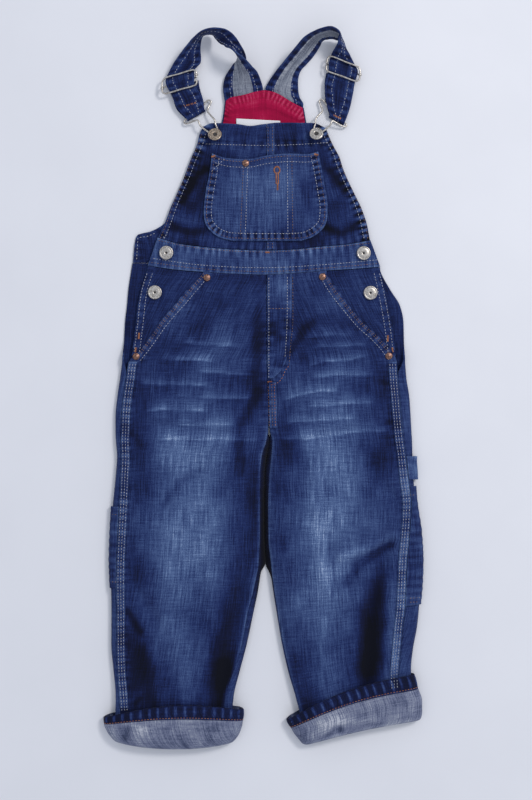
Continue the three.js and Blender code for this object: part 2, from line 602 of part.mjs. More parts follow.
// Felled outside seam, on the front's outermost strip, from below the side opening.
const OUTSEAM_START_Y = 31;
const ROW_SPACE = 4;          // least distance between two rows of a strip or a pocket
function outseam(leg, endY) {
  const rows = leg.filter((row) => row.y < OUTSEAM_START_Y && row.y > endY + ROW_SPACE);
  rows.push(rowAt(leg, endY));
  const from = (section) => section.edge + SEAM_HALF;
  const to = (section) => section.edge + FELL_WIDTH;
  return frontRows(leg, from, to, CLEAR, SEAM_STRIP, 3, rows);
}

const LEGS = { left: LEFT_LEG, right: RIGHT_LEG };
const OUTSEAM_END_Y = { left: -343, right: -303 };
for (const [side, leg] of Object.entries(LEGS)) {
  place(`back_leg_${side}`, backPanel(leg), CLOTH.denim);
  place(`front_leg_${side}`, frontPanel(leg), CLOTH.denim);
  place(`outseam_${side}`, outseam(leg, OUTSEAM_END_Y[side]), CLOTH.denim);
}

// Height of a front leg's top anywhere on the hips, where sections run straight across.
function hipTop(leg, x, y) {
  const section = sectionAt(leg, y);
  return section.top(Math.abs(x - section.outerX));
}

// Side pieces of the hips, one layer lower, under the slanted pocket edges.
const UNDERLAP = 8;
const HIP_SIDE_ROWS = 6;
const HIP_SIDE_ACROSS = [0, 0.12, 0.35, 0.65, 1];
function hipSide(leg, vent) {
  const inward = Math.sign(leg[0].innerX - leg[0].outerX);
  const levels = leg.slice(LEG_TOP_ROW, LEG_TOP_ROW + HIP_SIDE_ROWS).map((row) => row.y);
  levels.push(VENT_END_Y);
  const plan = levels.map((y) => {
    const from = look(vent, 'y', y === WAIST_Y ? look(BAND_BOTTOM, 'x', vent[0].x, 'y') : y, 'x');
    const to = look(leg, 'y', y, 'edgeX') + inward * UNDERLAP;
    return HIP_SIDE_ACROSS.map((t) => ({ x: mix(from, to, t), y }));
  });
  const outer = plan.map((row) => row.map((p) => {
    const z = Math.max(hipTop(leg, p.x, p.y) - DENIM - CLEAR - 0.1, 2 * DENIM + 2 * CLEAR);
    return waistBend(new THREE.Vector3(p.x, p.y, z));
  }));
  const inner = outer.map((row) => row.map((p) => new THREE.Vector3(p.x, p.y, p.z - DENIM)));
  return wall(outer, inner);
}
place('hip_side_left', hipSide(LEFT_LEG, VENT_LEFT), CLOTH.denim);
place('hip_side_right', hipSide(RIGHT_LEG, VENT_RIGHT), CLOTH.denim);

// Fly flap, stitched down on the right front, and the felled crotch seam below it.
const FLY = table(['y', 'width'], [
  [124.5, 27], [107.5, 27], [90, 27], [73, 26.5], [55.5, 25.5], [42.5, 24], [30, 20], [20, 14], [12, 6],
]);
const FLY_CLOTH = 1;
const flyRows = FLY.map((row) => ({ ...rowAt(RIGHT_LEG, row.y), flap: row.width }));
place('fly_flap', frontRows(
  RIGHT_LEG,
  (section) => section.width - section.flap,
  (section) => section.width - 2 * SEAM_HALF,
  CLEAR,
  FLY_CLOTH,
  4,
  flyRows,
), CLOTH.denim);
const CROTCH_LEVELS = [8, -8, -30, -42];
const CROTCH_FELL = table(['from', 'to'], [[9, 1]])[0];
const crotchRows = CROTCH_LEVELS.map((y) => rowAt(RIGHT_LEG, y));
place('crotch_seam', frontRows(
  RIGHT_LEG,
  (section) => section.width - CROTCH_FELL.from,
  (section) => section.width - CROTCH_FELL.to,
  CLEAR,
  SEAM_STRIP,
  2,
  crotchRows,
), CLOTH.denim);

// Tool pockets on the back of the legs, folded round the side, and the hammer loop.
const TOOL_CLOTH = 1.2;
const TOOL_POINTS = 5;        // of the back's line, from the seam down to under the fold
const TOOL_PUFF = { from: 0.25, to: 0.85 };
function toolPocket(leg, topY, bottomY, bulge) {
  const between = leg.map((row) => row.y).filter((y) => y < topY - ROW_SPACE && y > bottomY + ROW_SPACE);
  const levels = [topY, ...between, bottomY];
  const outer = [];
  const inner = [];
  levels.forEach((y) => {
    const section = sectionAt(leg, y);
    const line = section.backLine().slice(0, TOOL_POINTS);
    const down = (topY - y) / (topY - bottomY);
    const puff = bulge * Math.sin(Math.PI * mix(TOOL_PUFF.from, TOOL_PUFF.to, down));
    outer.push(section.moved(line, (i) => -(CLEAR + TOOL_CLOTH + (i === 0 ? 0 : puff))));
    inner.push(section.moved(line, () => -CLEAR));
  });
  return wall(outer, inner);
}
place('tool_pocket_right', toolPocket(RIGHT_LEG, -104, -231.5, 1), CLOTH.denim);
place('tool_pocket_left', toolPocket(LEFT_LEG, -126, -214, 0.4), CLOTH.denim);

const LOOP_TOP_Y = -72;
const LOOP_BOTTOM_Y = -97;
const LOOP_CLOTH = 1.3;
const loopRows = [LOOP_TOP_Y, mix(LOOP_TOP_Y, LOOP_BOTTOM_Y, 0.5), LOOP_BOTTOM_Y].map((y) => {
  const section = sectionAt(RIGHT_LEG, y);
  const seam = section.edge - 0.6;
  const line = [
    { s: seam, z: section.top(seam) + CLEAR + 0.1 },
    { s: seam * 0.45, z: section.top(seam * 0.45) + CLEAR + 0.5 },
    { s: -1.6, z: 7.6 },
    { s: -3.4, z: 5.6 },
    { s: -2.9, z: 3.4 },
    { s: -0.7, z: 2.2 },
  ];
  return { outer: section.moved(line, -LOOP_CLOTH), inner: section.moved(line, 0) };
});
place('hammer_loop', wall(loopRows.map((row) => row.outer), loopRows.map((row) => row.inner)), CLOTH.denim);

// Turned-up cuffs: the reverse of the leg, folded outwards, with the hem at its upper edge.
const CUFF_COLUMNS = ['v', 'outerX', 'outerY', 'innerX', 'innerY', 'bow', 'height', 'side'];
const CUFFS = {
  left: table(CUFF_COLUMNS, [
    [0, -173, -353, -22, -344.5, 10, 17.4, 7.5],
    [0.3, -172.5, -360, -22.5, -356, 5.5, 17.6, 7.5],
    [0.6, -170, -367.5, -25, -367.5, -2, 17.6, 7.5],
    [1, -162, -379, -32.5, -380, -6.5, 15.4, 7],
  ]),
  right: table(CUFF_COLUMNS, [
    [0, 162, -306.5, 24, -355.5, 9, 17.4, 7.5],
    [0.3, 166, -321.5, 28.5, -364, 7.5, 17.6, 7.5],
    [0.6, 171, -338.5, 34.5, -374, 5.5, 17.6, 7.5],
    [1, 169.5, -356, 43.5, -383.5, 3.5, 15.4, 7],
  ]),
};
const CUFF_OFFSET = table(['v', 'inset'], [
  [0.32, 0], [0.5, 0], [0.75, 0], [0.95, 0.2], [1, 1.4], [1, 3], [0.95, 4.2], [0.8, 4.2],
  [0.8, 2.75], [0.92, 2.7], [0.94, 2.1], [0.92, 1.5], [0.75, 1.5], [0.5, 1.5], [0.32, 1.5],
]);
const HEM_OFFSET = table(['v', 'inset'], [
  [0, 0], [0.15, -0.2], [0.31, 0], [0.31, 2.1], [0.15, 2.2], [0, 2.2],
]);
const CUFF_ROLL = 40;
const CUFF_FOLD = 6;
const CUFF_TOP = [0.97, 0.9, 0.78, 0.64, 0.5, 0.36, 0.22, 0.1, 0.03];
const CUFF_FLOOR = [0.3, 0.5, 0.7];
const CUFF_CORNER = [0, 35, 65, 90].map((degree) => (degree * Math.PI) / 180);

function cuffLoop(rows, v, inset) {
  const at = (name) => look(rows, 'v', v, name);
  const outer = new THREE.Vector2(at('outerX'), at('outerY'));
  const inner = new THREE.Vector2(at('innerX'), at('innerY'));
  const width = outer.distanceTo(inner);
  const along = inner.clone().sub(outer).divideScalar(width);
  const up = upward(along);
  const height = at('height');
  const side = at('side');
  const line = [];
  for (const t of CUFF_TOP) {
    const s = width * t;
    const rise = roll(s / CUFF_ROLL) * roll((width - s) / CUFF_ROLL);
    line.push({ s, z: side + (height - side) * rise });
  }
  const corner = CUFF_CORNER.map((angle) => ({
    s: CUFF_FOLD * (1 - Math.cos(angle)),
    z: side * (1 - Math.sin(angle)),
  }));
  line.push(...corner);
  for (const t of CUFF_FLOOR) line.push({ s: width * t, z: 0 });
  line.push(...corner.map((p) => ({ s: width - p.s, z: p.z })).reverse());
  return line.map((p, i) => {
    const before = line[(i + line.length - 1) % line.length];
    const after = line[(i + 1) % line.length];
    const normal = new THREE.Vector2(-(after.z - before.z), after.s - before.s).normalize();
    const s = p.s + normal.x * inset;
    const t = s / width;
    const bend = at('bow') * 4 * t * (1 - t);
    const plan = outer.clone().addScaledVector(along, s).addScaledVector(up, bend);
    return new THREE.Vector3(plan.x, plan.y, Math.max(0, p.z + normal.y * inset));
  });
}

for (const [side, rows] of Object.entries(CUFFS)) {
  place(`cuff_${side}`, ringWall(CUFF_OFFSET.map((p) => cuffLoop(rows, p.v, p.inset))), CLOTH.reverse);
  place(`cuff_hem_${side}`, ringWall(HEM_OFFSET.map((p) => cuffLoop(rows, p.v, p.inset))), CLOTH.denim);
}

// Back bib on the surface, with the red facing and a plain label on its inside.
const BACK_ACROSS = [0, 0.06, 0.2, 0.35, 0.5, 0.65, 0.8, 0.94, 1];
function backRows(inset, levels) {
  const fromY = BACK_BIB[0].y;
  return levels.map((y) => {
    const left = look(BACK_BIB, 'y', y, 'left') + inset;
    const right = look(BACK_BIB, 'y', y, 'right') - inset;
    const share = clamp01((y - fromY) / (BACK_TOP_SIDE_Y - fromY));
    return BACK_ACROSS.map((t) => {
      const x = mix(left, right, t);
      const reach = (look(BACK_TOP, 'x', x, 'y') - inset - BACK_TOP_SIDE_Y) * share ** 4;
      return { x, y: y + reach };
    });
  });
}
const backLevels = BACK_BIB.map((row) => row.y);
place('back_bib', panel(backRows(0, backLevels), () => DENIM, () => 0), CLOTH.denim);

const FACING_FROM_Y = 262;
const FACING_INSET = 1.3;
// How far the strap ends reach under the facing, and the slope that comes after.
const STRAP_UNDER = table(['x', 'depth'], [[-43, 13], [-20, 16], [0, 17.5], [20, 16.5], [43, 11]]);
const STRAP_STEP = 6;
function facingUnder(x, y) {
  const toTop = look(BACK_TOP, 'x', x, 'y') - y;
  const over = look(STRAP_UNDER, 'x', x, 'depth') + STRAP_STEP - toTop;
  return DENIM + CLEAR + (STRAP + CLEAR + 0.1) * smooth(over / STRAP_STEP);
}
const FACING_LEVELS = [FACING_FROM_Y, 275, 286, 291, 296, 300, 304.5, BACK_TOP_SIDE_Y];
place('back_facing', panel(
  backRows(FACING_INSET, FACING_LEVELS),
  (x, y) => facingUnder(x, y) + FACING,
  facingUnder,
), CLOTH.facing);

const LABEL = { left: -30, right: 17.5, top: 293, drop: 2.5, bottom: 276 };
const LABEL_CLOTH = 0.6;
const labelRows = [0, 0.5, 1].map((down) => [0, 0.33, 0.67, 1].map((t) => ({
  x: mix(LABEL.left, LABEL.right, t),
  y: mix(LABEL.top - LABEL.drop * t, LABEL.bottom, down),
})));
const labelUnder = (x, y) => facingUnder(x, y) + FACING + CLEAR;
place('label', panel(labelRows, (x, y) => labelUnder(x, y) + LABEL_CLOTH, labelUnder), CLOTH.label);

// Shoulder straps. Each row gives both edges of the strap's middle surface, from the end sewn
// under the facing, through the standing loop, the slider and the hook, and back underneath.
const STRAP_COLUMNS = ['ax', 'ay', 'az', 'bx', 'by', 'bz', 'bulge'];
const STRAP_LEFT = table(STRAP_COLUMNS, [
  [-41, 302, 2.5, -2.5, 309.5, 2.5, 0], [-43, 314.5, 2.5, -1.2, 324, 2.5, 0],
  [-44.4, 326.3, 2.4, -2.2, 330.3, 3.5, 0], [-41.7, 338.1, 2.6, -7, 340.8, 11, -2],
  [-37, 345.6, 3, -12.8, 345.3, 18, -3], [-31.4, 353, 3.6, -19.7, 350.5, 26, -3],
  [-24.8, 357.1, 4.6, -27, 355, 30, -2], [-19.4, 355.3, 9, -35, 361.1, 30, 0],
  [-20.5, 360.1, 16.6, -39.8, 363.9, 25.7, 2.8], [-24.5, 366.1, 23.6, -44.9, 368.3, 18.7, 4.6],
  [-29.7, 373.1, 28.7, -48.9, 373.5, 12.3, 4.6], [-37, 378.5, 32.5, -51.8, 378.2, 7.3, 3],
  [-45.9, 381, 34.2, -55.5, 383.3, 4.5, 2], [-57, 381.5, 33.1, -61.1, 383.9, 3.4, 1],
  [-66.7, 379, 30, -66.1, 382.3, 3.4, 0], [-76, 373.5, 23, -68.3, 376.7, 4, 0],
  [-85.7, 364.6, 16, -68.9, 367.2, 5, 0], [-93.3, 356.2, 11.5, -68, 358.3, 5.8, 0],
  [-98.8, 349.3, 8, -68.6, 352.2, 6.4, 0],
  [-105.8, 335.6, 5, -75, 344.8, 5, 0], [-105.2, 327.6, 7.4, -75, 336.6, 7.4, 0],
  [-101, 320.2, 5, -74.8, 328, 5, 0], [-97.5, 312, 5.3, -69.5, 320.5, 5.3, 0],
  [-93.5, 303.5, 5.3, -65.8, 311.5, 5.3, 0], [-83.7, 292.4, 5.15, -64.5, 303.2, 5.15, 0],
  [-83, 291.2, 4.5, -63.8, 302, 4.5, 0], [-82.7, 290.6, 2.95, -63.5, 301.4, 2.95, 0],
  [-83, 291.2, 1.4, -63.8, 302, 1.4, 0], [-83.7, 292.4, 0.75, -64.5, 303.2, 0.75, 0],
  [-94.5, 303.5, 0.75, -65.6, 312.5, 0.75, 0], [-99, 317, 0.75, -69.5, 326, 0.75, 0],
  [-102, 326, 0.75, -71, 335, 0.75, 0],
]);
const STRAP_RIGHT = table(STRAP_COLUMNS, [
  [3.5, 308.5, 2.5, 40.5, 297.5, 2.5, 0], [1.8, 321, 2.5, 42.5, 309, 2.5, 0],
  [1.6, 326.2, 2.6, 38.4, 316.5, 2.4, 0], [6.5, 334.9, 4.5, 36.8, 328.4, 2.6, 0],
  [13.5, 343.5, 9, 37.3, 338.1, 2.8, 0], [20.9, 351.2, 14, 40.3, 345.8, 3, 0],
  [27.8, 358.4, 19, 46, 352, 3.4, 0], [34.4, 365, 24, 53, 360, 3.8, 0],
  [42.4, 373.1, 28, 58.9, 369, 4.2, 0], [51.8, 378.2, 31.5, 63.2, 376.5, 4.6, 0],
  [62.3, 381.5, 34, 68.6, 378.6, 4.8, 0], [71.2, 382.6, 34.5, 75.1, 378.8, 5, 0],
  [77.8, 380.4, 32, 80.4, 377.3, 5.4, 0], [80.6, 377.4, 29, 84, 378.2, 6, 0],
  [79.4, 374.4, 26.5, 85.8, 375.5, 6.3, 0], [78.7, 369, 23, 88.2, 368, 6.6, 1],
  [75.7, 365.7, 14.5, 91.9, 361.5, 6.6, 2], [73.6, 363.2, 8.2, 95.6, 354.8, 6.2, 1],
  [71.6, 358, 4.9, 100.4, 346.4, 4.9, 0], [69.9, 351.3, 7.4, 101, 340.4, 7.4, 0],
  [69.3, 342.6, 5.1, 98.3, 332.2, 5.1, 0], [66, 331.5, 5.3, 96.3, 321.5, 5.3, 0],
  [66.2, 318, 5.3, 93.8, 309, 5.3, 0], [68.5, 304.5, 5.3, 90, 297, 5.3, 0],
  [71, 296.7, 5.15, 87, 288.2, 5.15, 0], [70.3, 295.4, 4.5, 86.3, 286.9, 4.5, 0],
  [70, 294.8, 2.95, 86, 286.3, 2.95, 0], [70.3, 295.4, 1.4, 86.3, 286.9, 1.4, 0],
  [71, 296.7, 0.75, 87, 288.2, 0.75, 0], [66.8, 312, 0.75, 92.6, 303.5, 0.75, 0],
  [65.8, 333, 0.75, 96.8, 322.5, 0.75, 0], [67.5, 343, 0.75, 98, 333, 0.75, 0],
]);
const STRAP_ACROSS = [0, 0.25, 0.5, 0.75, 1];

function strap(rows) {
  const a = rows.map((row) => new THREE.Vector3(row.ax, row.ay, row.az));
  const b = rows.map((row) => new THREE.Vector3(row.bx, row.by, row.bz));
  const middle = a.map((p, i) => p.clone().add(b[i]).multiplyScalar(0.5));
  const outer = [];
  const inner = [];
  rows.forEach((row, i) => {
    const before = middle[Math.max(0, i - 1)];
    const after = middle[Math.min(rows.length - 1, i + 1)];
    const normal = after.clone().sub(before).cross(b[i].clone().sub(a[i])).normalize();
    const across = STRAP_ACROSS.map((t) => {
      const bulge = row.bulge * 4 * t * (1 - t);
      return a[i].clone().lerp(b[i], t).addScaledVector(normal, bulge);
    });
    outer.push(across.map((p) => p.clone().addScaledVector(normal, STRAP / 2)));
    inner.push(across.map((p) => p.clone().addScaledVector(normal, -STRAP / 2)));
  });
  return wall(outer, inner);
}
place('strap_left', strap(STRAP_LEFT), CLOTH.denim);
place('strap_right', strap(STRAP_RIGHT), CLOTH.denim);

// Wire along a route.
const WIRE_SIDES = 6;
const WIRE_TENSION = 0.35;
function wire(points, steps) {
  const route = new THREE.CatmullRomCurve3(points, false, 'catmullrom', WIRE_TENSION);
  const ring = [];
  for (let i = 0; i < WIRE_SIDES; i += 1) {
    const angle = (i / WIRE_SIDES) * Math.PI * 2;
    ring.push(new THREE.Vector2(WIRE * Math.cos(angle), WIRE * Math.sin(angle)));
  }
  return new THREE.ExtrudeGeometry(new THREE.Shape(ring), { steps, extrudePath: route, bevelEnabled: false });
}

// Sliders: a wire frame over the strap, a bar under it and rolled knobs at two corners.
const SLIDER_COLUMNS = ['x', 'y'];
const SLIDER_Z = { frame: 7.9, bar: 4.6, barEnd: 7.2, knob: 7.6 };
const SLIDERS = {
  left: {
    frame: table(SLIDER_COLUMNS, [
      [-72.7, 333.6], [-72.6, 331], [-74.2, 328], [-90, 323.4],
      [-105.8, 318.8], [-109.2, 320.2], [-109.9, 325],
      [-109.6, 331], [-106.8, 335.4], [-91, 340.3], [-77, 344.4],
      [-73.6, 343.2], [-72.9, 338.6], [-72.8, 336],
    ]),
    bar: table(SLIDER_COLUMNS, [[-109.9, 326.2], [-72.7, 337.4]]),
    knobs: table(SLIDER_COLUMNS, [[-109.8, 324.4], [-72.9, 339.2]]),
  },
  right: {
    frame: table(SLIDER_COLUMNS, [
      [67.3, 349.2], [67, 346.6], [68.4, 343.3], [84, 337.6], [98.8, 332.3], [102.2, 333.6], [103.4, 339],
      [103.4, 343.4], [101.8, 347.2], [88, 353], [73.2, 359], [69.6, 358.2], [68, 354.4], [67.5, 351.6],
    ]),
    bar: table(SLIDER_COLUMNS, [[67.6, 351.4], [103.4, 340.2]]),
    knobs: table(SLIDER_COLUMNS, [[103.5, 339.2]]),
  },
};
const KNOB = 1.9;
const raised = (p, z) => new THREE.Vector3(p.x, p.y, z);
for (const [side, slider] of Object.entries(SLIDERS)) {
  const solids = [wire(slider.frame.map((p) => raised(p, SLIDER_Z.frame)), 28)];
  const [from, to] = slider.bar.map((p) => raised(p, SLIDER_Z.bar));
  const middle = from.clone().lerp(to, 0.5);
  const bar = [raised(from, SLIDER_Z.barEnd), from, middle, to, raised(to, SLIDER_Z.barEnd)];
  solids.push(wire(bar, 12));
  for (const knob of slider.knobs) {
    solids.push(new THREE.SphereGeometry(KNOB, 8, 6).translate(knob.x, knob.y, SLIDER_Z.knob));
  }
  place(`slider_${side}`, fuse(solids), CLOTH.nickel);
}

// Buttons, rivets and hooks.
const lathe = (profile, sides) => {
  const geometry = new THREE.LatheGeometry(profile.map((p) => new THREE.Vector2(p.r, p.h)), sides);
  return geometry.rotateX(Math.PI / 2);
};
const BIB_BUTTON = table(['r', 'h'], [
  [0, 0], [4.2, 0], [4.2, 0.7], [2.4, 1.2], [2.4, 4.4], [7.1, 4.8], [7.5, 5.4], [7.2, 6.3], [6.2, 6.8],
  [2.5, 6.5], [2, 5.6], [0, 5.6],
]);
const SIDE_BUTTON = table(['r', 'h'], [
  [0, 0], [3.4, 0], [3.4, 0.9], [7.1, 1.2], [7.6, 1.8], [6.9, 2.6], [1.5, 2.4], [1.2, 1.8], [0, 1.8],
]);
const RIVET = table(['r', 'h'], [[0, 0], [3.8, 0], [3.6, 0.7], [1.9, 1], [1.2, 1.6], [0, 1.7]]);

const BIB_BUTTONS = {
  left: { x: -52.8, y: 271.8, towards: 1.5 },
  right: { x: 56.3, y: 272.6, towards: 1.62 },
};
const HOOK_COLUMNS = ['x', 'y', 'z'];
const HOOKS = {
  left: {
    before: table(HOOK_COLUMNS, [
      [-74.2, 297.9, 2.95], [-83, 292.95, 2.95], [-85.5, 291.5, 2.95], [-86.3, 289.4, 3.1],
      [-85, 287.6, 3.8], [-81, 287.7, 5.2], [-76.1, 289.4, 7], [-71.3, 289.8, 8.4],
      [-68.9, 284.6, 8.8], [-64.8, 280.6, 8.8], [-60.6, 277.6, 9.2],
    ]),
    after: table(HOOK_COLUMNS, [
      [-49.2, 277.6, 9.3], [-50.4, 281.6, 8.5], [-52.2, 285.8, 8.2], [-53.4, 290.6, 8.2],
      [-57.2, 295.3, 6.8], [-60.9, 300.8, 4.8], [-59.6, 306.2, 3.6], [-57.2, 311.2, 3.1],
      [-60.2, 313, 2.95], [-64.8, 308.8, 2.95], [-68.6, 303.6, 2.95], [-70.6, 299.9, 2.95],
      [-73.2, 298.45, 2.95],
    ]),
    ring: { from: 2.75, to: 6.3 },
  },
  right: {
    before: table(HOOK_COLUMNS, [
      [79, 292.45, 2.95], [86.2, 288.65, 2.95], [88.6, 287.3, 2.95], [89.2, 285.2, 3.1],
      [87.6, 284.1, 3.8], [83.2, 285, 5.2], [78.6, 287.2, 7], [73.6, 289.2, 8.4],
      [71.8, 285.4, 8.8], [68.2, 281.6, 8.8], [64.2, 278.4, 9.2],
    ]),
    after: table(HOOK_COLUMNS, [
      [52.8, 278.4, 9.3], [54, 282.4, 8.5], [55.4, 286.4, 8.2], [55.8, 291.2, 8.2],
      [59.2, 296.2, 6.8], [63, 300.6, 4.8], [61.6, 306.6, 3.6], [59.8, 311.8, 3.1],
      [62.4, 313.9, 2.95], [66.8, 309.4, 2.95], [71, 303, 2.95], [74.6, 295.6, 2.95],
      [78, 293, 2.95],
    ]),
    ring: { from: 0.39, to: -3.16 },
  },
};
const RING_RADIUS = 4.1;      // the hook's ring lies round the button's stem, under its cap
const RING_HEIGHT = 2.85;
const RING_STEPS = 5;
const HOOK_STEPS = 52;
const BASE_RADIUS = 4.2;
const hookPoint = (p) => new THREE.Vector3(p.x, p.y, p.z);

for (const [side, button] of Object.entries(BIB_BUTTONS)) {
  const seat = new THREE.Group();
  const away = new THREE.Vector3(-Math.sin(button.towards), Math.cos(button.towards), 0);
  const lift = bibTop(button.x, button.y) + CLEAR + BASE_RADIUS * Math.sin(BIB_BUTTON_TILT);
  seat.position.set(button.x, button.y, lift);
  seat.quaternion.setFromAxisAngle(away, BIB_BUTTON_TILT);
  const material = new THREE.MeshStandardMaterial({ ...CLOTH.nickel, name: `bib_button_${side}_finish` });
  const cap = new THREE.Mesh(lathe(BIB_BUTTON, BUTTON_SIDES), material);
  cap.name = `bib_button_${side}`;
  seat.add(cap);
  garment.add(seat);
  seat.updateMatrixWorld(true);
  const hook = HOOKS[side];
  const route = hook.before.map(hookPoint);
  for (let i = 0; i <= RING_STEPS; i += 1) {
    const angle = mix(hook.ring.from, hook.ring.to, i / RING_STEPS);
    const x = RING_RADIUS * Math.cos(angle);
    const y = RING_RADIUS * Math.sin(angle);
    route.push(seat.localToWorld(new THREE.Vector3(x, y, RING_HEIGHT)));
  }
  route.push(...hook.after.map(hookPoint));
  place(`hook_${side}`, wire(route, HOOK_STEPS), CLOTH.nickel);
}

// Flat buttons of the side openings.
const SIDE_BUTTONS = [
  { name: 'side_button_left_upper', x: -105.3, y: 147.4 },
  { name: 'side_button_right_upper', x: 107.5, y: 147 },
  { name: 'side_button_left_lower', x: -117.7, y: 104.8, leg: LEFT_LEG },
  { name: 'side_button_right_lower', x: 115, y: 104.3, leg: RIGHT_LEG },
];
const BUTTON_GAP = 0.45;      // a round button on a crowned panel stands off it by a little more
for (const button of SIDE_BUTTONS) {
  const { x, y, leg } = button;
  const layer = leg ? hipTop(leg, x, y) - DENIM - CLEAR : bandTop(x);
  const mesh = place(button.name, lathe(SIDE_BUTTON, BUTTON_SIDES), CLOTH.nickel);
  mesh.position.set(x, y, layer + BUTTON_GAP);
}

// Rivets at the ends of the slanted pockets and on the bib pocket.
const RIVETS = [
  { name: 'rivet_left_top', x: -61.5, y: 120.5, leg: LEFT_LEG },
  { name: 'rivet_left_bottom', x: -137.8, y: 35.5, leg: LEFT_LEG },
  { name: 'rivet_right_top', x: 63, y: 121.5, leg: RIGHT_LEG },
  { name: 'rivet_right_bottom', x: 134.5, y: 36, leg: RIGHT_LEG },
];
const RIVET_GAP = 0.7;
for (const rivet of RIVETS) {
  const mesh = place(rivet.name, lathe(RIVET, RIVET_SIDES), CLOTH.copper);
  mesh.position.set(rivet.x, rivet.y, hipTop(rivet.leg, rivet.x, rivet.y) + RIVET_GAP);
}
const POCKET_RIVET = { x: -19.7, y: 243.6 };
const pocketRivet = place('rivet_bib_pocket', lathe(RIVET, RIVET_SIDES), CLOTH.copper);
pocketRivet.position.set(
  POCKET_RIVET.x,
  POCKET_RIVET.y,
  bibTop(POCKET_RIVET.x, POCKET_RIVET.y) + CLEAR + POCKET_BOW + POCKET_CLOTH + HEM_RISE + CLEAR,
);

// The part's origin is the middle of its footprint, on the surface.
const MIDDLE = { x: -0.6, y: -0.5 };
garment.position.set(-MIDDLE.x, -MIDDLE.y, 0);
const part = new THREE.Group();
part.add(garment);
export default part;
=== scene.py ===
# %% [markdown]
# # A child's denim dungarees, laid out on a pale table
# The garment lies face up: the back is on the table, the front lies on it, the straps are folded
# forward and hooked to the bib, and both cuffs are turned up once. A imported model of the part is
# loaded first. It holds the true sizes, and every piece made here follows it.

# %% Load the part and keep its box
import math

import bmesh
import bpy
import numpy as np
from mathutils import Matrix, Vector
from mathutils.bvhtree import BVHTree


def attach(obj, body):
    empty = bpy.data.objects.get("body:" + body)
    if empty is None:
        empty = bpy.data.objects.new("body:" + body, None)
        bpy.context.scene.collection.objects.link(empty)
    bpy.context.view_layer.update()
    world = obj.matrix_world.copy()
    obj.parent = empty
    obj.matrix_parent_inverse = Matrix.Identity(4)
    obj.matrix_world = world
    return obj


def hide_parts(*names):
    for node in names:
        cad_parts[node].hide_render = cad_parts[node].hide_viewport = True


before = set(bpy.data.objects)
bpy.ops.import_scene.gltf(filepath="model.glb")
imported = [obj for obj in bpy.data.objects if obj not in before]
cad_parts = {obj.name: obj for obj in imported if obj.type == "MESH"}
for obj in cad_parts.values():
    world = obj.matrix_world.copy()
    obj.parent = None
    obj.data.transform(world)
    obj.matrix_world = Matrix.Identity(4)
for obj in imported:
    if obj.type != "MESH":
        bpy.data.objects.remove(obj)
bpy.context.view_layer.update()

# %% [markdown]
# ## Camera
# The picture was taken from straight above. A camera that looks down needs no turning in Blender.
# With the sensor fitted to the picture's height, the lens follows from two sizes: how far the
# camera is from the cloth, and how much of the table the picture's height takes in.

# %% Camera straight above
MM = 0.001
IMAGE_HEIGHT = 800            # pixels
PIXEL = 1.08                  # mm of cloth in one pixel of the picture
PICTURE_MIDDLE = (2.76, -10.84)   # mm, the place of the table in the middle of the picture
CAMERA_UP = 1300              # mm above the table
CLOTH_UP = 5                  # mm, the level at which a pixel was measured
SENSOR = 36                   # mm

camera_data = bpy.data.cameras.new("camera")
camera_data.sensor_fit = "VERTICAL"
camera_data.sensor_height = SENSOR
camera_data.lens = SENSOR * (CAMERA_UP - CLOTH_UP) / (IMAGE_HEIGHT * PIXEL)
camera = bpy.data.objects.new("camera", camera_data)
camera.location = (PICTURE_MIDDLE[0] * MM, PICTURE_MIDDLE[1] * MM, CAMERA_UP * MM)
bpy.context.collection.objects.link(camera)
bpy.context.scene.camera = camera
print("lens", round(camera_data.lens, 1), "mm")

# %% [markdown]
# ## Light and table
# The room's light is soft and cool, and a little stronger from the upper right, so the shadows are
# faint and lie to the left. A bright world gives the even part, and one wide area lamp the rest.
# The table is a plain pale plane under the cloth; it isn't part of the garment.

# %% World, lamp and table
ROOM_STRENGTH = 0.72
LAMP_WATTS = 34
LAMP_WIDE = 0.7               # m; a wider lamp gives softer shadows
LAMP_PLACE = (1.5, 1.25, 2.1)     # m
world = bpy.data.worlds.new("room")
world.use_nodes = True
background = world.node_tree.nodes["Background"]
background.inputs["Color"].default_value = (0.86, 0.91, 1.0, 1)
background.inputs["Strength"].default_value = ROOM_STRENGTH
bpy.context.scene.world = world
bpy.context.scene.view_settings.view_transform = "Standard"

lamp_data = bpy.data.lights.new("window_light", "AREA")
lamp_data.shape = "DISK"
lamp_data.size = LAMP_WIDE
lamp_data.energy = LAMP_WATTS
lamp_data.color = (1.0, 0.97, 0.93)
lamp = bpy.data.objects.new("window_light", lamp_data)
lamp.location = LAMP_PLACE
lamp.rotation_mode = "QUATERNION"
lamp.rotation_quaternion = (-lamp.location).to_track_quat("-Z", "Y")
bpy.context.collection.objects.link(lamp)

TABLE_SIZE = 3.0              # m from the middle to each side
TABLE_DROP = 0.0002           # m, just under the cloth
bm = bmesh.new()
bmesh.ops.create_grid(bm, x_segments=2, y_segments=2, size=TABLE_SIZE)
bmesh.ops.translate(bm, verts=bm.verts, vec=(0, 0, -TABLE_DROP))
table_mesh = bpy.data.meshes.new("table")
bm.to_mesh(table_mesh)
bm.free()
table_top = bpy.data.objects.new("table", table_mesh)
bpy.context.collection.objects.link(table_top)
print("lamp", round(lamp.location.length, 2), "m away")

# %% [markdown]
# ## Small tools for numbers
# Sizes are in millimetres, in the garment's own measures: x runs to the right, y towards the
# straps. Short tables hold the sizes that were measured, and a steady curve runs through them, so
# an outline stays smooth between two rows and never swings past them.

# %% Tables and steady curves
MIDDLE_X = -0.6               # middle of the footprint, in garment measures
MIDDLE_Y = -0.5


def table(columns, rows):
    """Columns of a table, by name."""
    return {name: np.array(values, float) for name, values in zip(columns.split(), zip(*rows))}


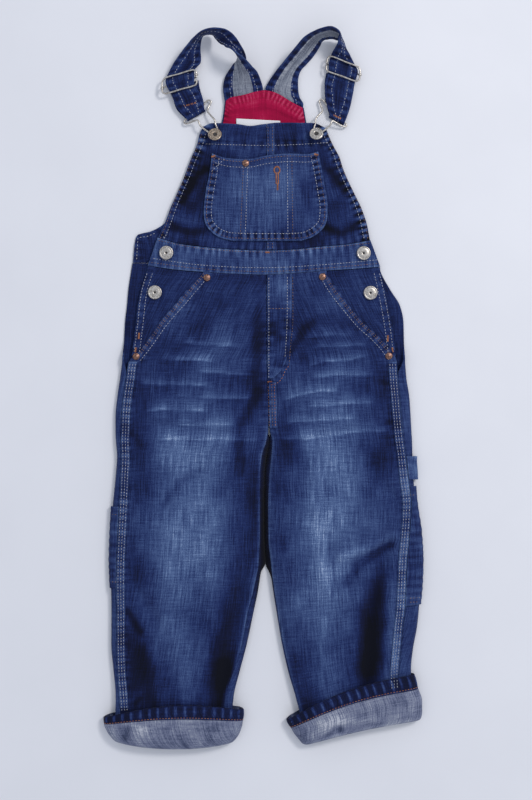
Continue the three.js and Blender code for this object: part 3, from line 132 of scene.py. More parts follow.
def mix(a, b, t):
    """a where t is 0, b where t is 1."""
    return a + (b - a) * t


def smooth(t):
    """0 below 0, 1 above 1, and an even bend between."""
    t = np.clip(t, 0, 1)
    return t * t * (3 - 2 * t)


def unit(arrows):
    """Arrows of the same directions, each 1 long."""
    return arrows / np.linalg.norm(arrows, axis=-1, keepdims=True)


def bell(t):
    """1 at t = 0, falling away softly on both sides."""
    return np.exp(-t ** 2)


def curve(xs, ys, at):
    """Steady curve through points, level at their highs and lows."""
    if xs[0] > xs[-1]:
        xs, ys = xs[::-1], ys[::-1]
    at = np.clip(at, xs[0], xs[-1])
    step = np.diff(xs)
    slope = np.diff(ys) / step
    lean = np.zeros_like(ys)
    lean[0], lean[-1] = slope[0], slope[-1]
    before, after = slope[:-1], slope[1:]
    rising = before * after > 0
    far, near = 2 * step[1:] + step[:-1], step[1:] + 2 * step[:-1]
    with np.errstate(divide="ignore", invalid="ignore"):
        blended = (far + near) / (far / before + near / after)
    lean[1:-1][rising] = blended[rising]
    i = np.clip(np.searchsorted(xs, at) - 1, 0, len(step) - 1)
    t = (at - xs[i]) / step[i]
    start = ys[i] * (1 + 2 * t) * (1 - t) ** 2 + step[i] * lean[i] * t * (1 - t) ** 2
    end = ys[i + 1] * t * t * (3 - 2 * t) + step[i] * lean[i + 1] * t * t * (t - 1)
    return start + end


def read(rows, key, at, column):
    """A table's column at any place of its key."""
    return curve(rows[key], rows[column], at)


def drift(x, y, size, seed):
    """Soft unevenness from -1 to 1, with its bumps about size mm apart."""
    cells = 64
    grid = np.random.default_rng(seed).uniform(-1, 1, (cells, cells))
    gx, gy = np.asarray(x) / size, np.asarray(y) / size
    ix, iy = np.floor(gx).astype(int), np.floor(gy).astype(int)
    tx, ty = smooth(gx - ix), smooth(gy - iy)
    low = mix(grid[ix % cells, iy % cells], grid[(ix + 1) % cells, iy % cells], tx)
    high = mix(grid[ix % cells, (iy + 1) % cells], grid[(ix + 1) % cells, (iy + 1) % cells], tx)
    return mix(low, high, ty)


def beside(line, x, y):
    """How far x, y is from a line (positive on its left), how far along, and the line's length."""
    best = np.full(np.broadcast(x, y).shape, 1e9)
    place = np.zeros_like(best)
    side = np.zeros_like(best)
    run = 0.0
    for (x1, y1), (x2, y2) in zip(line, line[1:]):
        length = math.hypot(x2 - x1, y2 - y1)
        t = np.clip(((x - x1) * (x2 - x1) + (y - y1) * (y2 - y1)) / length ** 2, 0, 1)
        far = np.hypot(x - x1 - t * (x2 - x1), y - y1 - t * (y2 - y1))
        near = far < best
        best = np.where(near, far, best)
        place = np.where(near, run + t * length, place)
        turn = (x2 - x1) * (y - y1) - (y2 - y1) * (x - x1)
        side = np.where(near, np.where(turn < 0, -1, 1), side)
        run += length
    return best * side, place, run


def through(points, steps):
    """Smooth line through rows of points (rows, points, 3), with steps places on it."""
    gaps = np.linalg.norm(np.diff(points, axis=1), axis=2).mean(axis=0)
    at = np.concatenate([[0], np.cumsum(gaps)])
    lean = np.empty_like(points)
    lean[:, 1:-1] = (points[:, 2:] - points[:, :-2]) / (at[2:] - at[:-2])[:, None]
    lean[:, 0] = (points[:, 1] - points[:, 0]) / gaps[0]
    lean[:, -1] = (points[:, -1] - points[:, -2]) / gaps[-1]
    place = np.linspace(0, at[-1], steps)
    i = np.clip(np.searchsorted(at, place) - 1, 0, len(gaps) - 1)
    t = ((place - at[i]) / gaps[i])[:, None]
    h = gaps[i][:, None]
    start = points[:, i] * (1 + 2 * t) * (1 - t) ** 2 + h * lean[:, i] * t * (1 - t) ** 2
    end = points[:, i + 1] * t * t * (3 - 2 * t) + h * lean[:, i + 1] * t * t * (t - 1)
    return start + end


def lifted(points, by):
    """Rows of points moved off the cloth that they lie on, upwards."""
    normal = np.cross(np.gradient(points, axis=1), np.gradient(points, axis=0))
    return points + unit(normal * np.sign(normal[..., 2:])) * by


# %% [markdown]
# ## How denim looks
# Denim is a twill of blue warp over pale weft. The warp is dyed only on its outside, so wear brings
# out lighter blues, and uneven yarn leaves fine streaks along both threads. One node group makes
# those streaks from the cloth's own UV map, which is in metres. Each material then turns the
# shade that comes out into its own colours. How worn each place is comes with the mesh, as an
# attribute: 0 is raw indigo and 1 is bleached. The same attribute also carries painted shade: it
# is set low in the deepest troughs of the leg fronts and on the backs between the legs.

# %% Node group for uneven yarn
def node(tree, kind, **settings):
    made = tree.nodes.new(kind)
    for name, value in settings.items():
        setattr(made, name, value)
    return made


def calc(tree, operation, a, b, c=None):
    made = node(tree, "ShaderNodeMath", operation=operation)
    for socket, value in zip(made.inputs, (a, b, c)):
        if value is None:
            continue
        if isinstance(value, (int, float)):
            socket.default_value = value
        else:
            tree.links.new(value, socket)
    return made.outputs[0]


def threads(tree, place, scale_u, scale_v, detail):
    """Noise stretched along one thread: scales are cycles for each mm across and along."""
    mapping = node(tree, "ShaderNodeMapping")
    mapping.inputs["Scale"].default_value = (scale_u / MM, scale_v / MM, 1)
    tree.links.new(place, mapping.inputs["Vector"])
    noise = node(tree, "ShaderNodeTexNoise", noise_dimensions="2D")
    noise.inputs["Scale"].default_value = 1
    noise.inputs["Detail"].default_value = detail
    noise.inputs["Roughness"].default_value = 0.6
    tree.links.new(mapping.outputs["Vector"], noise.inputs["Vector"])
    return noise.outputs[0]


yarn = bpy.data.node_groups.new("uneven yarn", "ShaderNodeTree")
yarn.interface.new_socket("Place", in_out="INPUT", socket_type="NodeSocketVector")
# The wear input carries painted shade as well as wear.
for name, way in (("Wear", "INPUT"), ("Contrast", "INPUT"), ("Shade", "OUTPUT"), ("Height", "OUTPUT"),
                  ("Roughness", "OUTPUT")):
    yarn.interface.new_socket(name, in_out=way, socket_type="NodeSocketFloat")
yarn_in = node(yarn, "NodeGroupInput")
yarn_out = node(yarn, "NodeGroupOutput")
place = yarn_in.outputs["Place"]
warp = threads(yarn, place, 0.75, 0.035, 3)
weft = threads(yarn, place, 0.045, 0.7, 3)
grain = threads(yarn, place, 0.9, 0.75, 2)
cloud = threads(yarn, place, 0.03, 0.02, 2)
mixed = calc(yarn, "MULTIPLY_ADD", warp, 1.1, calc(yarn, "MULTIPLY", weft, 0.6))
mixed = calc(yarn, "MULTIPLY_ADD", grain, 0.7, mixed)
mixed = calc(yarn, "MULTIPLY_ADD", cloud, 0.45, mixed)
swing = calc(yarn, "SUBTRACT", mixed, 1.42)
amount = calc(yarn, "MULTIPLY_ADD", yarn_in.outputs["Wear"], 0.75, 0.16)
amount = calc(yarn, "MULTIPLY", amount, yarn_in.outputs["Contrast"])
shade = calc(yarn, "MULTIPLY_ADD", swing, amount, yarn_in.outputs["Wear"])
twill = node(yarn, "ShaderNodeTexWave", wave_type="BANDS", bands_direction="DIAGONAL")
twill.inputs["Scale"].default_value = 0.22 / MM
yarn.links.new(place, twill.inputs["Vector"])
height = calc(yarn, "MULTIPLY_ADD", twill.outputs["Fac"], 0.25, mixed)
rough = calc(yarn, "MULTIPLY_ADD", grain, 0.2, 0.78)
for name, value in (("Shade", shade), ("Height", height), ("Roughness", rough)):
    yarn.links.new(value, yarn_out.inputs[name])
print(len(yarn.nodes), "nodes for the yarn")

# %% [markdown]
# ## Finishes of the cloth
# The face of the denim, its grey-blue reverse, the red facing and the white tape differ in their
# colours and in how uneven their yarn is, but not in how they are woven. So one function makes all
# of them: it places the yarn group, runs its shade through a ramp of colours that goes from unworn
# to bleached, and lets a faint bump raise the thread. The ramp could be one blue made lighter, but
# worn indigo turns greyer as it pales, and several stops catch that.

# %% Cloth materials
CLOTH_SHINE = 0.13            # cotton has hardly any


def cloth_material(name, colours, contrast, sheen=0.1):
    """Cloth whose colour runs through colours, (shade, red, green, blue), as it wears."""
    made = bpy.data.materials.new(name)
    made.use_nodes = True
    tree = made.node_tree
    shader = tree.nodes["Principled BSDF"]
    shader.inputs["Specular IOR Level"].default_value = CLOTH_SHINE
    shader.inputs["Sheen Weight"].default_value = sheen
    shader.inputs["Sheen Roughness"].default_value = 0.6
    group = node(tree, "ShaderNodeGroup", node_tree=yarn)
    group.inputs["Contrast"].default_value = contrast
    ramp = node(tree, "ShaderNodeValToRGB")
    stops = ramp.color_ramp.elements
    while len(stops) < len(colours):
        stops.new(0.5)
    for stop, (at, red, green, blue) in zip(stops, colours):
        stop.position = at
        stop.color = (red, green, blue, 1)
    bump = node(tree, "ShaderNodeBump")
    bump.inputs["Strength"].default_value = 0.5
    bump.inputs["Distance"].default_value = 0.25 * MM
    links = tree.links
    links.new(node(tree, "ShaderNodeUVMap", uv_map="cloth").outputs["UV"], group.inputs["Place"])
    links.new(node(tree, "ShaderNodeAttribute", attribute_name="wear").outputs["Fac"], group.inputs["Wear"])
    links.new(group.outputs["Shade"], ramp.inputs["Fac"])
    links.new(ramp.outputs["Color"], shader.inputs["Base Color"])
    links.new(group.outputs["Roughness"], shader.inputs["Roughness"])
    links.new(group.outputs["Height"], bump.inputs["Height"])
    links.new(bump.outputs["Normal"], shader.inputs["Normal"])
    return made


# The stops near black give the painted shade of the deepest troughs and of the backs between the legs.
INDIGO = cloth_material("indigo face", [
    (0.00, 0.0008, 0.0015, 0.007), (0.15, 0.003, 0.006, 0.034), (0.30, 0.009, 0.020, 0.094),
    (0.50, 0.034, 0.062, 0.175), (0.65, 0.064, 0.108, 0.245), (0.80, 0.115, 0.180, 0.350),
    (1.00, 0.32, 0.41, 0.60),
], contrast=1.06, sheen=0.04)
REVERSE = cloth_material("grey-blue reverse", [
    (0.00, 0.006, 0.011, 0.04), (0.25, 0.05, 0.065, 0.13), (0.5, 0.14, 0.16, 0.255),
    (0.75, 0.23, 0.255, 0.34), (1.00, 0.46, 0.48, 0.56),
], contrast=1.45)
STRAP_REVERSE = cloth_material("paler reverse of the straps", [
    (0.00, 0.03, 0.035, 0.07), (0.25, 0.16, 0.18, 0.235), (0.5, 0.31, 0.33, 0.385), (1.00, 0.50, 0.52, 0.58),
], contrast=1.4)
RED_TWILL = cloth_material("red twill", [
    (0.00, 0.06, 0.001, 0.008), (0.5, 0.36, 0.004, 0.05), (1.00, 0.60, 0.09, 0.19),
], contrast=0.6, sheen=0)
WHITE_TAPE = cloth_material("white tape", [
    (0.00, 0.35, 0.35, 0.40), (0.5, 0.72, 0.72, 0.76), (1.00, 0.85, 0.85, 0.87),
], contrast=0.25)

# %% [markdown]
# ## Metal, thread and table finishes
# Nickel that has been washed many times is dull and stained in places, and the rivets are brown
# copper. The thread is thick and matt. Their patterns are noise on Object coordinates: every
# finished piece keeps its place in its mesh, so the pattern stays where it is.

# %% Metal, thread and table materials
def speckled(name, dark, pale, size, roughness, metallic=0.0, spread=0.3):
    """A finish with two tones, in patches about size mm wide."""
    made = bpy.data.materials.new(name)
    made.use_nodes = True
    tree = made.node_tree
    shader = tree.nodes["Principled BSDF"]
    shader.inputs["Metallic"].default_value = metallic
    noise = node(tree, "ShaderNodeTexNoise")
    noise.inputs["Scale"].default_value = 1 / (size * MM)
    noise.inputs["Detail"].default_value = 3
    ramp = node(tree, "ShaderNodeValToRGB")
    ramp.color_ramp.elements[0].position = 0.5 - spread / 2
    ramp.color_ramp.elements[1].position = 0.5 + spread / 2
    ramp.color_ramp.elements[0].color = (*dark, 1)
    ramp.color_ramp.elements[1].color = (*pale, 1)
    links = tree.links
    links.new(node(tree, "ShaderNodeTexCoord").outputs["Object"], noise.inputs["Vector"])
    links.new(noise.outputs[0], ramp.inputs["Fac"])
    links.new(ramp.outputs["Color"], shader.inputs["Base Color"])
    duller = calc(tree, "MULTIPLY_ADD", noise.outputs[0], -0.25, roughness + 0.12)
    links.new(duller, shader.inputs["Roughness"])
    return made


NICKEL = speckled("washed nickel", (0.30, 0.27, 0.24), (0.68, 0.65, 0.62), 1.2, 0.36, metallic=1)
BRONZED = speckled("nickel worn to bronze", (0.20, 0.15, 0.11), (0.52, 0.44, 0.36), 1.4, 0.4, metallic=1)
DARK_HOLE = speckled("shadowed hole", (0.02, 0.018, 0.02), (0.05, 0.045, 0.045), 1.0, 0.7)
COPPER = speckled("brown copper", (0.09, 0.04, 0.03), (0.39, 0.23, 0.18), 1.0, 0.45, metallic=1)
WHITE_THREAD = speckled("white thread", (0.26, 0.28, 0.36), (0.52, 0.53, 0.58), 6, 0.85)
BROWN_THREAD = speckled("brown thread", (0.10, 0.07, 0.07), (0.28, 0.18, 0.14), 5, 0.85)
ORANGE_THREAD = speckled("orange thread", (0.26, 0.09, 0.04), (0.48, 0.20, 0.09), 5, 0.8)
TABLE = speckled("pale table", (0.735, 0.745, 0.80), (0.755, 0.765, 0.82), 120, 0.6)
table_mesh.materials.append(TABLE)
print(len(bpy.data.materials), "materials")

# %% [markdown]
# ## The garment's measures
# These are the outlines of the pieces, read off the laid-out garment: the top edge and sides of the
# bib, the waistband, the pocket, the back, and the side openings.

# %% Outlines
DENIM = 1.5                   # thickness of one layer
CLEAR = 0.3                   # gap between two pieces that are sewn or lie on each other
HEM_RISE = 0.6
SIDE_HEM = 8
TOP_HEM = 19.5
CENTRE_X = 3
WAIST_Y = 124.5
BACK_WAIST_Y = 137
HIP_FADE = 51.5
VENT_END_Y = 36
BAND_TOP = table("x y", [
    (-115, 164), (-93, 157.5), (-69, 154), (-32.5, 151), (3, 150),
    (32.5, 151), (60.5, 154), (88.5, 156.5), (115, 161)])
BAND_BOTTOM = table("x y", [
    (-125.5, 134), (-96, 129.5), (-66, 127), (-32.5, 125), (3, 124),
    (32.5, 125.5), (62.5, 128), (93, 130), (125.5, 132.5)])
BIB_TOP = table("x y", [
    (-65, 284.5), (-56, 287.5), (-30, 286.5), (-15, 284.5), (1, 286.5), (17.5, 288), (54, 287.5),
    (68, 282)])
BIB_SIDES = table("y left right", [
    (284.5, -65.5, 67), (277, -69.5, 70), (265.5, -72.5, 75.5), (254.5, -77.5, 81.5), (243.5, -82, 85),
    (231.5, -86.5, 90), (215.5, -93.5, 97.5), (198, -101, 105.5), (181, -107, 111), (162.5, -114.5, 114.5)])
POCKET_SIDES = table("y left right", [
    (254, -56, 58.5), (243, -57.5, 61), (230.5, -59.5, 63.5), (215.5, -62.5, 66), (200.5, -64.5, 68.5),
    (189.5, -65, 68.5), (178.5, -63, 66.5), (170, -56.5, 60), (164, -47.5, 51), (160.5, -34, 40)])
POCKET_MOUTH = table("x y", [
    (-56, 254.5), (-41.5, 249.5), (-24, 248), (-12, 248.5), (1, 251.5), (26, 254), (46.5, 253.5),
    (58.5, 256.5)])
BACK_BIB = table("y left right", [
    (BACK_WAIST_Y + CLEAR, -142, 122), (154, -140.5, 118), (167.5, -137, 112), (170, -126.5, 110.5),
    (174.5, -115.5, 108), (182, -105.5, 104), (207, -86, 88), (242.5, -68, 70), (271.5, -54, 56),
    (288, -45.6, 46.5), (300, -43.5, 44.5), (309, -42.5, 43)])
BACK_TOP = table("x y", [
    (-42.5, 312), (-36.5, 316.5), (-22.5, 319.5), (-9.5, 323), (0.5, 324.5),
    (9.5, 323), (18.5, 319), (28, 313), (43, 305)])
VENT_LEFT = table("y x", [
    (134, -125.5), (125.5, -128.5), (107.5, -134), (90, -136.7), (73, -138.3), (59, -140),
    (42.5, -142), (34, -143.5)])
VENT_RIGHT = table("y x", [
    (131.5, 125.5), (115, 129.5), (92.5, 134), (69.5, 138), (50, 140.5), (34, 142.5)])
BIB_HEIGHT = table("y z", [(150, 5.2), (180, 4.6), (235, 4.6), (262, 5.6), (275, 5.9), (290, 5.9)])
HEM_FOLDS = [                 # x, width, depth of the soft waves below the bib's top
    (-52, 4, 0.4), (-33, 3.5, 0.5), (-14, 4, 0.5), (22, 4, 0.45), (38, 3.5, 0.4), (57, 4, 0.35)]
print("bib top to waist seam", round(BIB_TOP["y"].max() - BAND_BOTTOM["y"].min()), "mm")

# %% [markdown]
# ## The measures of the legs
# Each row is a cut across a leg at a level y: where the outside fold, the edge of the front and the
# inseam lie, how high the leg is there, and how far it is folded round. The hips open into the side
# openings, so their rows have no outside fold, and the rows at the foot follow the tilt of the
# turned-up cuffs. A table is easier to set against the real garment than a mesh would be.

# %% Sections of the legs
LEG_COLUMNS = "y outer_x edge_x inner_x inner_y crown outer_z inner_z wrap fold inseam floor bow"
TOP_Y = BACK_WAIST_Y - CLEAR
LEFT_LEG = table(LEG_COLUMNS, [
    (TOP_Y, -142.5, -66, 3, TOP_Y, 6.2, 4.2, 5.6, 0, 0, 0.15, 0, 0),
    (124.5, -144.5, -66, 3, 124.5, 6.2, 4.2, 5.6, 0, 0, 0.15, 0, 0),
    (107.5, -147, -81.5, 3, 107.5, 6.8, 4.2, 5.6, 0, 0, 0.15, 0, 0),
    (90, -148.5, -96.5, 3, 90, 7.4, 4.2, 5.6, 0, 0, 0.15, 0, 0),
    (73, -150.5, -112, 3, 73, 8, 4.2, 5.5, 0, 0, 0.15, 0, 0),
    (55.5, -151.5, -124, 3, 55.5, 8.6, 4.2, 5.4, 0, 0, 0.15, 0, 0),
    (42.5, -152.5, -133.5, 3.3, 42.5, 9.2, 4.3, 5.3, 0.25, 0, 0.15, 0, 0),
    (30, -153.5, -145.5, 3.5, 30, 9.6, 4.4, 5.2, 0.6, 0, 0.15, 0, 0),
    (14, -155.3, -148, 4, 14, 10.3, 4.5, 5.1, 1, 0, 0.15, 0, 0),
    (-8, -158.5, -151.3, 4.6, -8, 11.2, 4.5, 5, 1, 0, 0.15, 0, 0),
    (-30, -160.5, -153.2, 5.1, -30, 12, 4.5, 5, 1, 0, 0.15, 0, 0),
    (-45, -160.5, -153.7, 5.2, -45, 12.4, 4.5, 4.9, 1, 0.5, 0.8, 0, 0),
    (-56, -160, -154, 3.8, -56, 12.7, 4.5, 4.6, 1, 1, 1.5, 0, 0),
    (-72, -158.7, -153.5, -1, -72, 13, 4.5, 4.5, 1, 1, 1.5, 0, 0),
    (-96, -160.5, -154.5, -3, -96, 13.2, 4.5, 4.5, 1, 1, 1.5, 0, 0),
    (-124, -163.2, -155.7, -3, -124, 13.4, 4.5, 4.5, 1, 1, 1.5, 0, 0),
    (-155, -165.2, -157.2, -2.6, -155, 13.6, 4.5, 4.5, 1, 1, 1.8, 0, 0),
    (-186, -166, -158.5, -2.6, -186, 13.6, 4.5, 4.5, 1, 1, 3, 0, 0),
    (-212, -165.3, -158.8, -5.5, -212, 13.6, 4.5, 4.5, 1, 1, 5, 0, 0),
    (-242, -164.8, -158.5, -11.5, -242, 13.6, 4.5, 4.5, 1, 1, 6.5, 0, 0),
    (-275, -165, -158.5, -18.5, -275, 13.6, 4.5, 4.5, 1, 1, 5.5, 0, 0),
    (-304, -162.5, -157.7, -26, -304, 13.8, 4.6, 4.6, 1, 1, 7, 0.4, 0),
    (-331, -160, -155.5, -32.5, -331, 14.2, 6.9, 6.9, 1, 1, 9, 2.5, 2),
    (-352, -160.5, -154.5, -34, -350, 14.3, 7.2, 7.2, 1, 1, 9.5, 2.75, 3),
    (-370, -164, -157, -30.5, -370.5, 13.6, 7.2, 7.2, 1, 1, 9.5, 2.75, -4),
])
RIGHT_LEG = table(LEG_COLUMNS, [
    (TOP_Y, 123, 67.5, 3, TOP_Y, 6.2, 4.2, 5.6, 0, 0, 0.15, 0, 0),
    (124.5, 127.5, 67.5, 3, 124.5, 6.2, 4.2, 5.6, 0, 0, 0.15, 0, 0),
    (107.5, 137, 78, 3, 107.5, 6.8, 4.2, 5.6, 0, 0, 0.15, 0, 0),
    (90, 147.5, 91.5, 3, 90, 7.4, 4.2, 5.6, 0, 0, 0.15, 0, 0),
    (73, 151, 106.5, 3, 73, 8, 4.2, 5.5, 0, 0, 0.15, 0, 0),
    (55.5, 151.5, 125.5, 3, 55.5, 8.6, 4.2, 5.4, 0, 0, 0.15, 0, 0),
    (42.5, 152, 137.5, 3.3, 42.5, 9.2, 4.3, 5.3, 0.25, 0, 0.15, 0, 0),
    (30, 152.7, 143, 3.5, 30, 9.6, 4.4, 5.2, 0.6, 0, 0.15, 0, 0),
    (14, 153.7, 143.8, 4, 14, 10.3, 4.5, 5.1, 1, 0, 0.15, 0, 0),
    (-8, 157, 145.8, 4.6, -8, 11.2, 4.5, 5, 1, 0, 0.15, 0, 0),
    (-30, 158.5, 147.5, 5.1, -30, 12, 4.5, 5, 1, 0, 0.15, 0, 0),
    (-45, 159.3, 149, 5.7, -45, 12.4, 4.5, 4.9, 1, 0.5, 0.8, 0, 0),
    (-56, 160, 150.2, 7.4, -56, 12.7, 4.5, 4.6, 1, 1, 1.5, 0, 0),
    (-72, 160.4, 152.5, 6.4, -72, 13, 4.5, 4.5, 1, 1, 1.5, 0, 0),
    (-96, 161.5, 155, 4, -96, 13.2, 4.5, 4.5, 1, 1, 1.5, 0, 0),
    (-124, 164, 158.2, 3, -124, 13.4, 4.5, 4.5, 1, 1, 1.5, 0, 0),
    (-155, 168.3, 156.3, 3, -155, 13.6, 4.5, 4.5, 1, 1, 1.5, 0, 0),
    (-186, 170, 153.5, 6, -188.5, 13.6, 4.5, 4.5, 1, 1, 1.5, 0, 0),
    (-208, 169.5, 152.5, 9.5, -216, 13.6, 4.5, 4.5, 1, 1, 1.5, 0, 0),
    (-229, 168, 151.4, 13.5, -241, 13.6, 4.5, 4.5, 1, 1, 1.5, 0, 0),
    (-255, 165.5, 148.5, 19, -274, 13.6, 4.5, 4.5, 1, 1, 1.8, 0, 0),
    (-280, 161, 146, 26, -305, 13.8, 4.6, 4.6, 1, 1, 2, 0.4, 0),
    (-301, 158.6, 144.5, 34.5, -334, 14.2, 6.9, 6.9, 1, 1, 2, 2.5, 3),
    (-322, 160.5, 145.5, 39, -355, 14.3, 7.2, 7.2, 1, 1, 2, 2.75, 6),
    (-343, 168, 151, 39, -374.2, 13.6, 7.2, 7.2, 1, 1, 2, 2.75, 4.5),
])
OUTER_ROLL = 46
INNER_ROLL = 34
CENTRE_SLOPE = 70
FOLD_REACH = 5
SEAM_HALF = CLEAR / 2
print("rows of the legs", len(LEFT_LEG["y"]), len(RIGHT_LEG["y"]))

# %% [markdown]
# ## Folds of the legs
# Cloth that was folded and washed keeps soft troughs and ridges. They could be sculpted, but a line
# with a width and a depth says the same in one row, and stays where it was measured. Large folds go
# into the form of a leg, and fine ones are added to it as relief.

# %% Troughs and ridges of the fronts
FOLDS = [                     # points along it, width, depth (less than 0 is a ridge)
    ([(-12, -85), (-24, -215)], 9, 3.2), ([(-24, -215), (-46, -330)], 8, 4.2),
    ([(-118, -128), (-72, -86)], 7, 1.6), ([(-143, -205), (-120, -244)], 7, 2.2),
    ([(130, -172), (116, -232)], 9, 4.2), ([(116, -232), (112, -318)], 9, 4.6),
    ([(88, -196), (128, -166)], 6, 1.4), ([(112, -82), (141, -120)], 7, 2.2),
    ([(28, -60), (92, -44)], 6, 1.4), ([(-120, -38), (-40, -48)], 6, 1.4),
    ([(-124, 40), (-30, 36)], 6, 1.1), ([(40, 44), (112, 24)], 6, 1.2), ([(34, 90), (44, 30)], 7, 1.3),
]
FINE_FOLDS = [                # the same, too fine for the solid parts
    ([(28, 40), (44, 66), (53, 73)], 4, 0.9), ([(127, 8), (141, 4)], 3, 0.8),
    ([(133, -35), (145, -40)], 3, 0.8), ([(-6, -3), (-28, -42), (-26, -87)], 6, 1.2),
    ([(44, -47), (57, -96)], 5, -0.9), ([(-108, -124), (-91, -100), (-69, -87)], 4, 0.8),
    ([(-147, -238), (-133, -260)], 4, 1.3), ([(-138, -337), (-133, -332)], 3, 0.9),
    ([(52, -98), (58, -152), (60, -190), (67, -216)], 8, -1.0), ([(72, -170), (76, -215)], 5, 0.9),
    ([(84, -180), (110, -171), (140, -158)], 4, -1.6), ([(89, -208), (101, -189), (136, -167)], 5, 1.5),
    ([(138, -215), (136, -320)], 6, -0.9), ([(-100, -250), (-84, -330)], 9, -0.8),
    ([(-130, -280), (-118, -345)], 7, 0.8), ([(62, -250), (72, -330)], 9, -0.8),
    ([(-150, -40), (-132, -58)], 5, 0.7), ([(-60, -200), (-44, -280)], 7, -0.7),
]
print(len(FOLDS), "large folds and", len(FINE_FOLDS), "fine ones")


def pressed(folds, x, y):
    """Depth of the folds at x, y."""
    depth = 0
    for points, width, deep in folds:
        far, place, length = beside(points, x, y)
        uneven = 1 + 0.25 * drift(place, 7 * width, 14, int(10 * width))
        depth = depth + deep * uneven * bell(far / width)
    return depth


def crease_depth(x, y):
    """The largest folds, with ends as soft as those of the solid parts."""
    depth = 0
    for ((x1, y1), (x2, y2)), width, deep in FOLDS:
        length = math.hypot(x2 - x1, y2 - y1)
        along = ((x - x1) * (x2 - x1) + (y - y1) * (y2 - y1)) / length
        across = ((x - x1) * (y2 - y1) - (y - y1) * (x2 - x1)) / length
        past = np.maximum(0, np.maximum(-along, along - length))
        depth = depth + deep * np.exp(-(across / width) ** 2 - (past / (2 * width)) ** 2)
    return depth


# %% [markdown]
# ## Puckers along the seams
# A row of stitches draws the cloth up, and washing sets that as small waves about 8 mm apart, which
# die away beside the seam. They follow the seam's own line, so they are a wave along the distance
# run on it. Its pitch wanders a little, because an even wave looks moulded.

# %% Puckers along the seams
def puckers(lines, x, y):
    """Height of the small waves beside seams: each line has its points, reach, pitch, height."""
    total = np.zeros(np.broadcast(x, y).shape)
    for number, (points, reach, pitch, height) in enumerate(lines):
        far, place, _ = beside(points, x, y)
        wander = 0.45 * drift(place, 13.0 * number, 2.2 * pitch, 40 + number)
        strength = 0.7 + 0.5 * drift(place, 9.0 * number, 3.1 * pitch, 60 + number)
        wave = np.sin(2 * math.pi * (place / pitch + wander) + 0.03 * far)
        total += height * strength * wave * bell(far / reach)
    return total


def edge_line(leg, inwards, top, bottom, name="edge_x"):
    """Plan line along a leg's side, a little way in from its edge."""
    ys = np.linspace(top, bottom, 40)
    return list(zip(read(leg, "y", ys, name) + inwards, ys))


SLANT_LEFT = [(-66, 127), (-89.6, 98.8), (-110.2, 75.1), (-126.4, 52.4), (-139.9, 35.1)]
SLANT_RIGHT = [
    (66, 127.5), (78.3, 107.5), (92.7, 89.1), (106.9, 72.5), (121.3, 59.6), (132, 48), (141, 36)]
FLY_EDGE = [(25.2, 123.3), (24.9, 67.8), (22.6, 34.7), (18, 16), (9, 8)]
WAIST_SEAM = list(zip(BAND_BOTTOM["x"], BAND_BOTTOM["y"]))
FRONT_PUCKERS = [             # line, reach, pitch, height
    (edge_line(LEFT_LEG, 6, 30, -365), 7, 8.2, 0.55), (edge_line(RIGHT_LEG, -6, 30, -340), 7, 8.2, 0.55),
    (edge_line(LEFT_LEG, -4, -40, -365, "inner_x"), 4, 9, 0.22),
    (edge_line(RIGHT_LEG, 4, -40, -340, "inner_x"), 4, 9, 0.22),
    (SLANT_LEFT, 8, 9, 0.38), (SLANT_RIGHT, 8, 9, 0.38), (FLY_EDGE, 6, 9, 0.32),
    ([(3, 122), (3, -40)], 7, 9, 0.4), (WAIST_SEAM, 6, 8, 0.35),
]
SIDE_PUCKERS = FRONT_PUCKERS[:4]
POCKET_PUCKERS = FRONT_PUCKERS[4:7]
POCKET_BAND = 8.6             # width of the stitched band along a slanted pocket


def front_relief(x, y):
    """What is added to the smooth height of the fronts: fine folds, puckers and unevenness."""
    height = -pressed(FINE_FOLDS, x, y)
    height = height + 0.55 * drift(x, y, 34, 1) + 0.28 * drift(x, y, 15, 2) + 0.1 * drift(x, y, 6, 3)
    height = height + puckers(FRONT_PUCKERS, x, y)
    for line, sign in ((SLANT_LEFT, 1), (SLANT_RIGHT, -1)):
        far = sign * beside(line, x, y)[0]
        height = height + 0.45 * smooth(far / 0.8) * smooth((POCKET_BAND - far) / 0.8)
    return height


# %% [markdown]
# ## Where the fronts are faded, and painted shade in their deepest troughs
# Denim loses its blue where it is rubbed: on thighs and knees, on the top of each pucker, and in
# streaks where it creased across the hips, sharp at their lower edge and fading upwards. Valleys
# keep it. The deepest troughs of the inner folds are darkened further, almost to black: that is
# painted shade, and the paler strip on the ridge beside the right trough is wear with painted
# highlight. This could be painted by hand, but here it is worked out from the same lines as the
# form, so that every pale place lies on the fold that made it.

# %% Faded places and painted shade of the fronts
PATCHES = table("x y wide tall wear", [
    (-66, 10, 60, 60, 0.08), (-74, -66, 50, 50, 0.26), (-80, -165, 52, 88, 0.36),
    (-88, -265, 40, 55, 0.08), (66, 10, 50, 55, 0.10), (78, -60, 46, 52, 0.28),
    (72, -165, 48, 80, 0.34), (66, -265, 38, 60, 0.12),
    (-128, -135, 13, 110, -0.10), (120, -75, 16, 35, -0.12), (-8, 40, 8, 42, -0.22),
    # painted shade: the rows at (113, -276), (124, -216), (-45, -300), (-30, -205) and (-10, -130) darken the
    # troughs of the inner folds almost to black; the paler row at (137, -262) is a worn ridge with painted
    # highlight
    (113, -276, 13, 50, -0.44), (124, -216, 9, 34, -0.24), (-45, -300, 15, 60, -0.44),
    (-30, -205, 13, 70, -0.18), (137, -262, 7, 60, 0.10), (-27, -66, 9, 40, -0.06),
    (-138, -300, 10, 60, -0.12), (-95, -348, 70, 12, -0.10), (90, -345, 60, 12, -0.10),
    (-10, -130, 11, 64, -0.20), (24, -55, 9, 30, -0.10),
    (-60, 90, 40, 30, 0.05), (60, 90, 30, 30, 0.05),
])
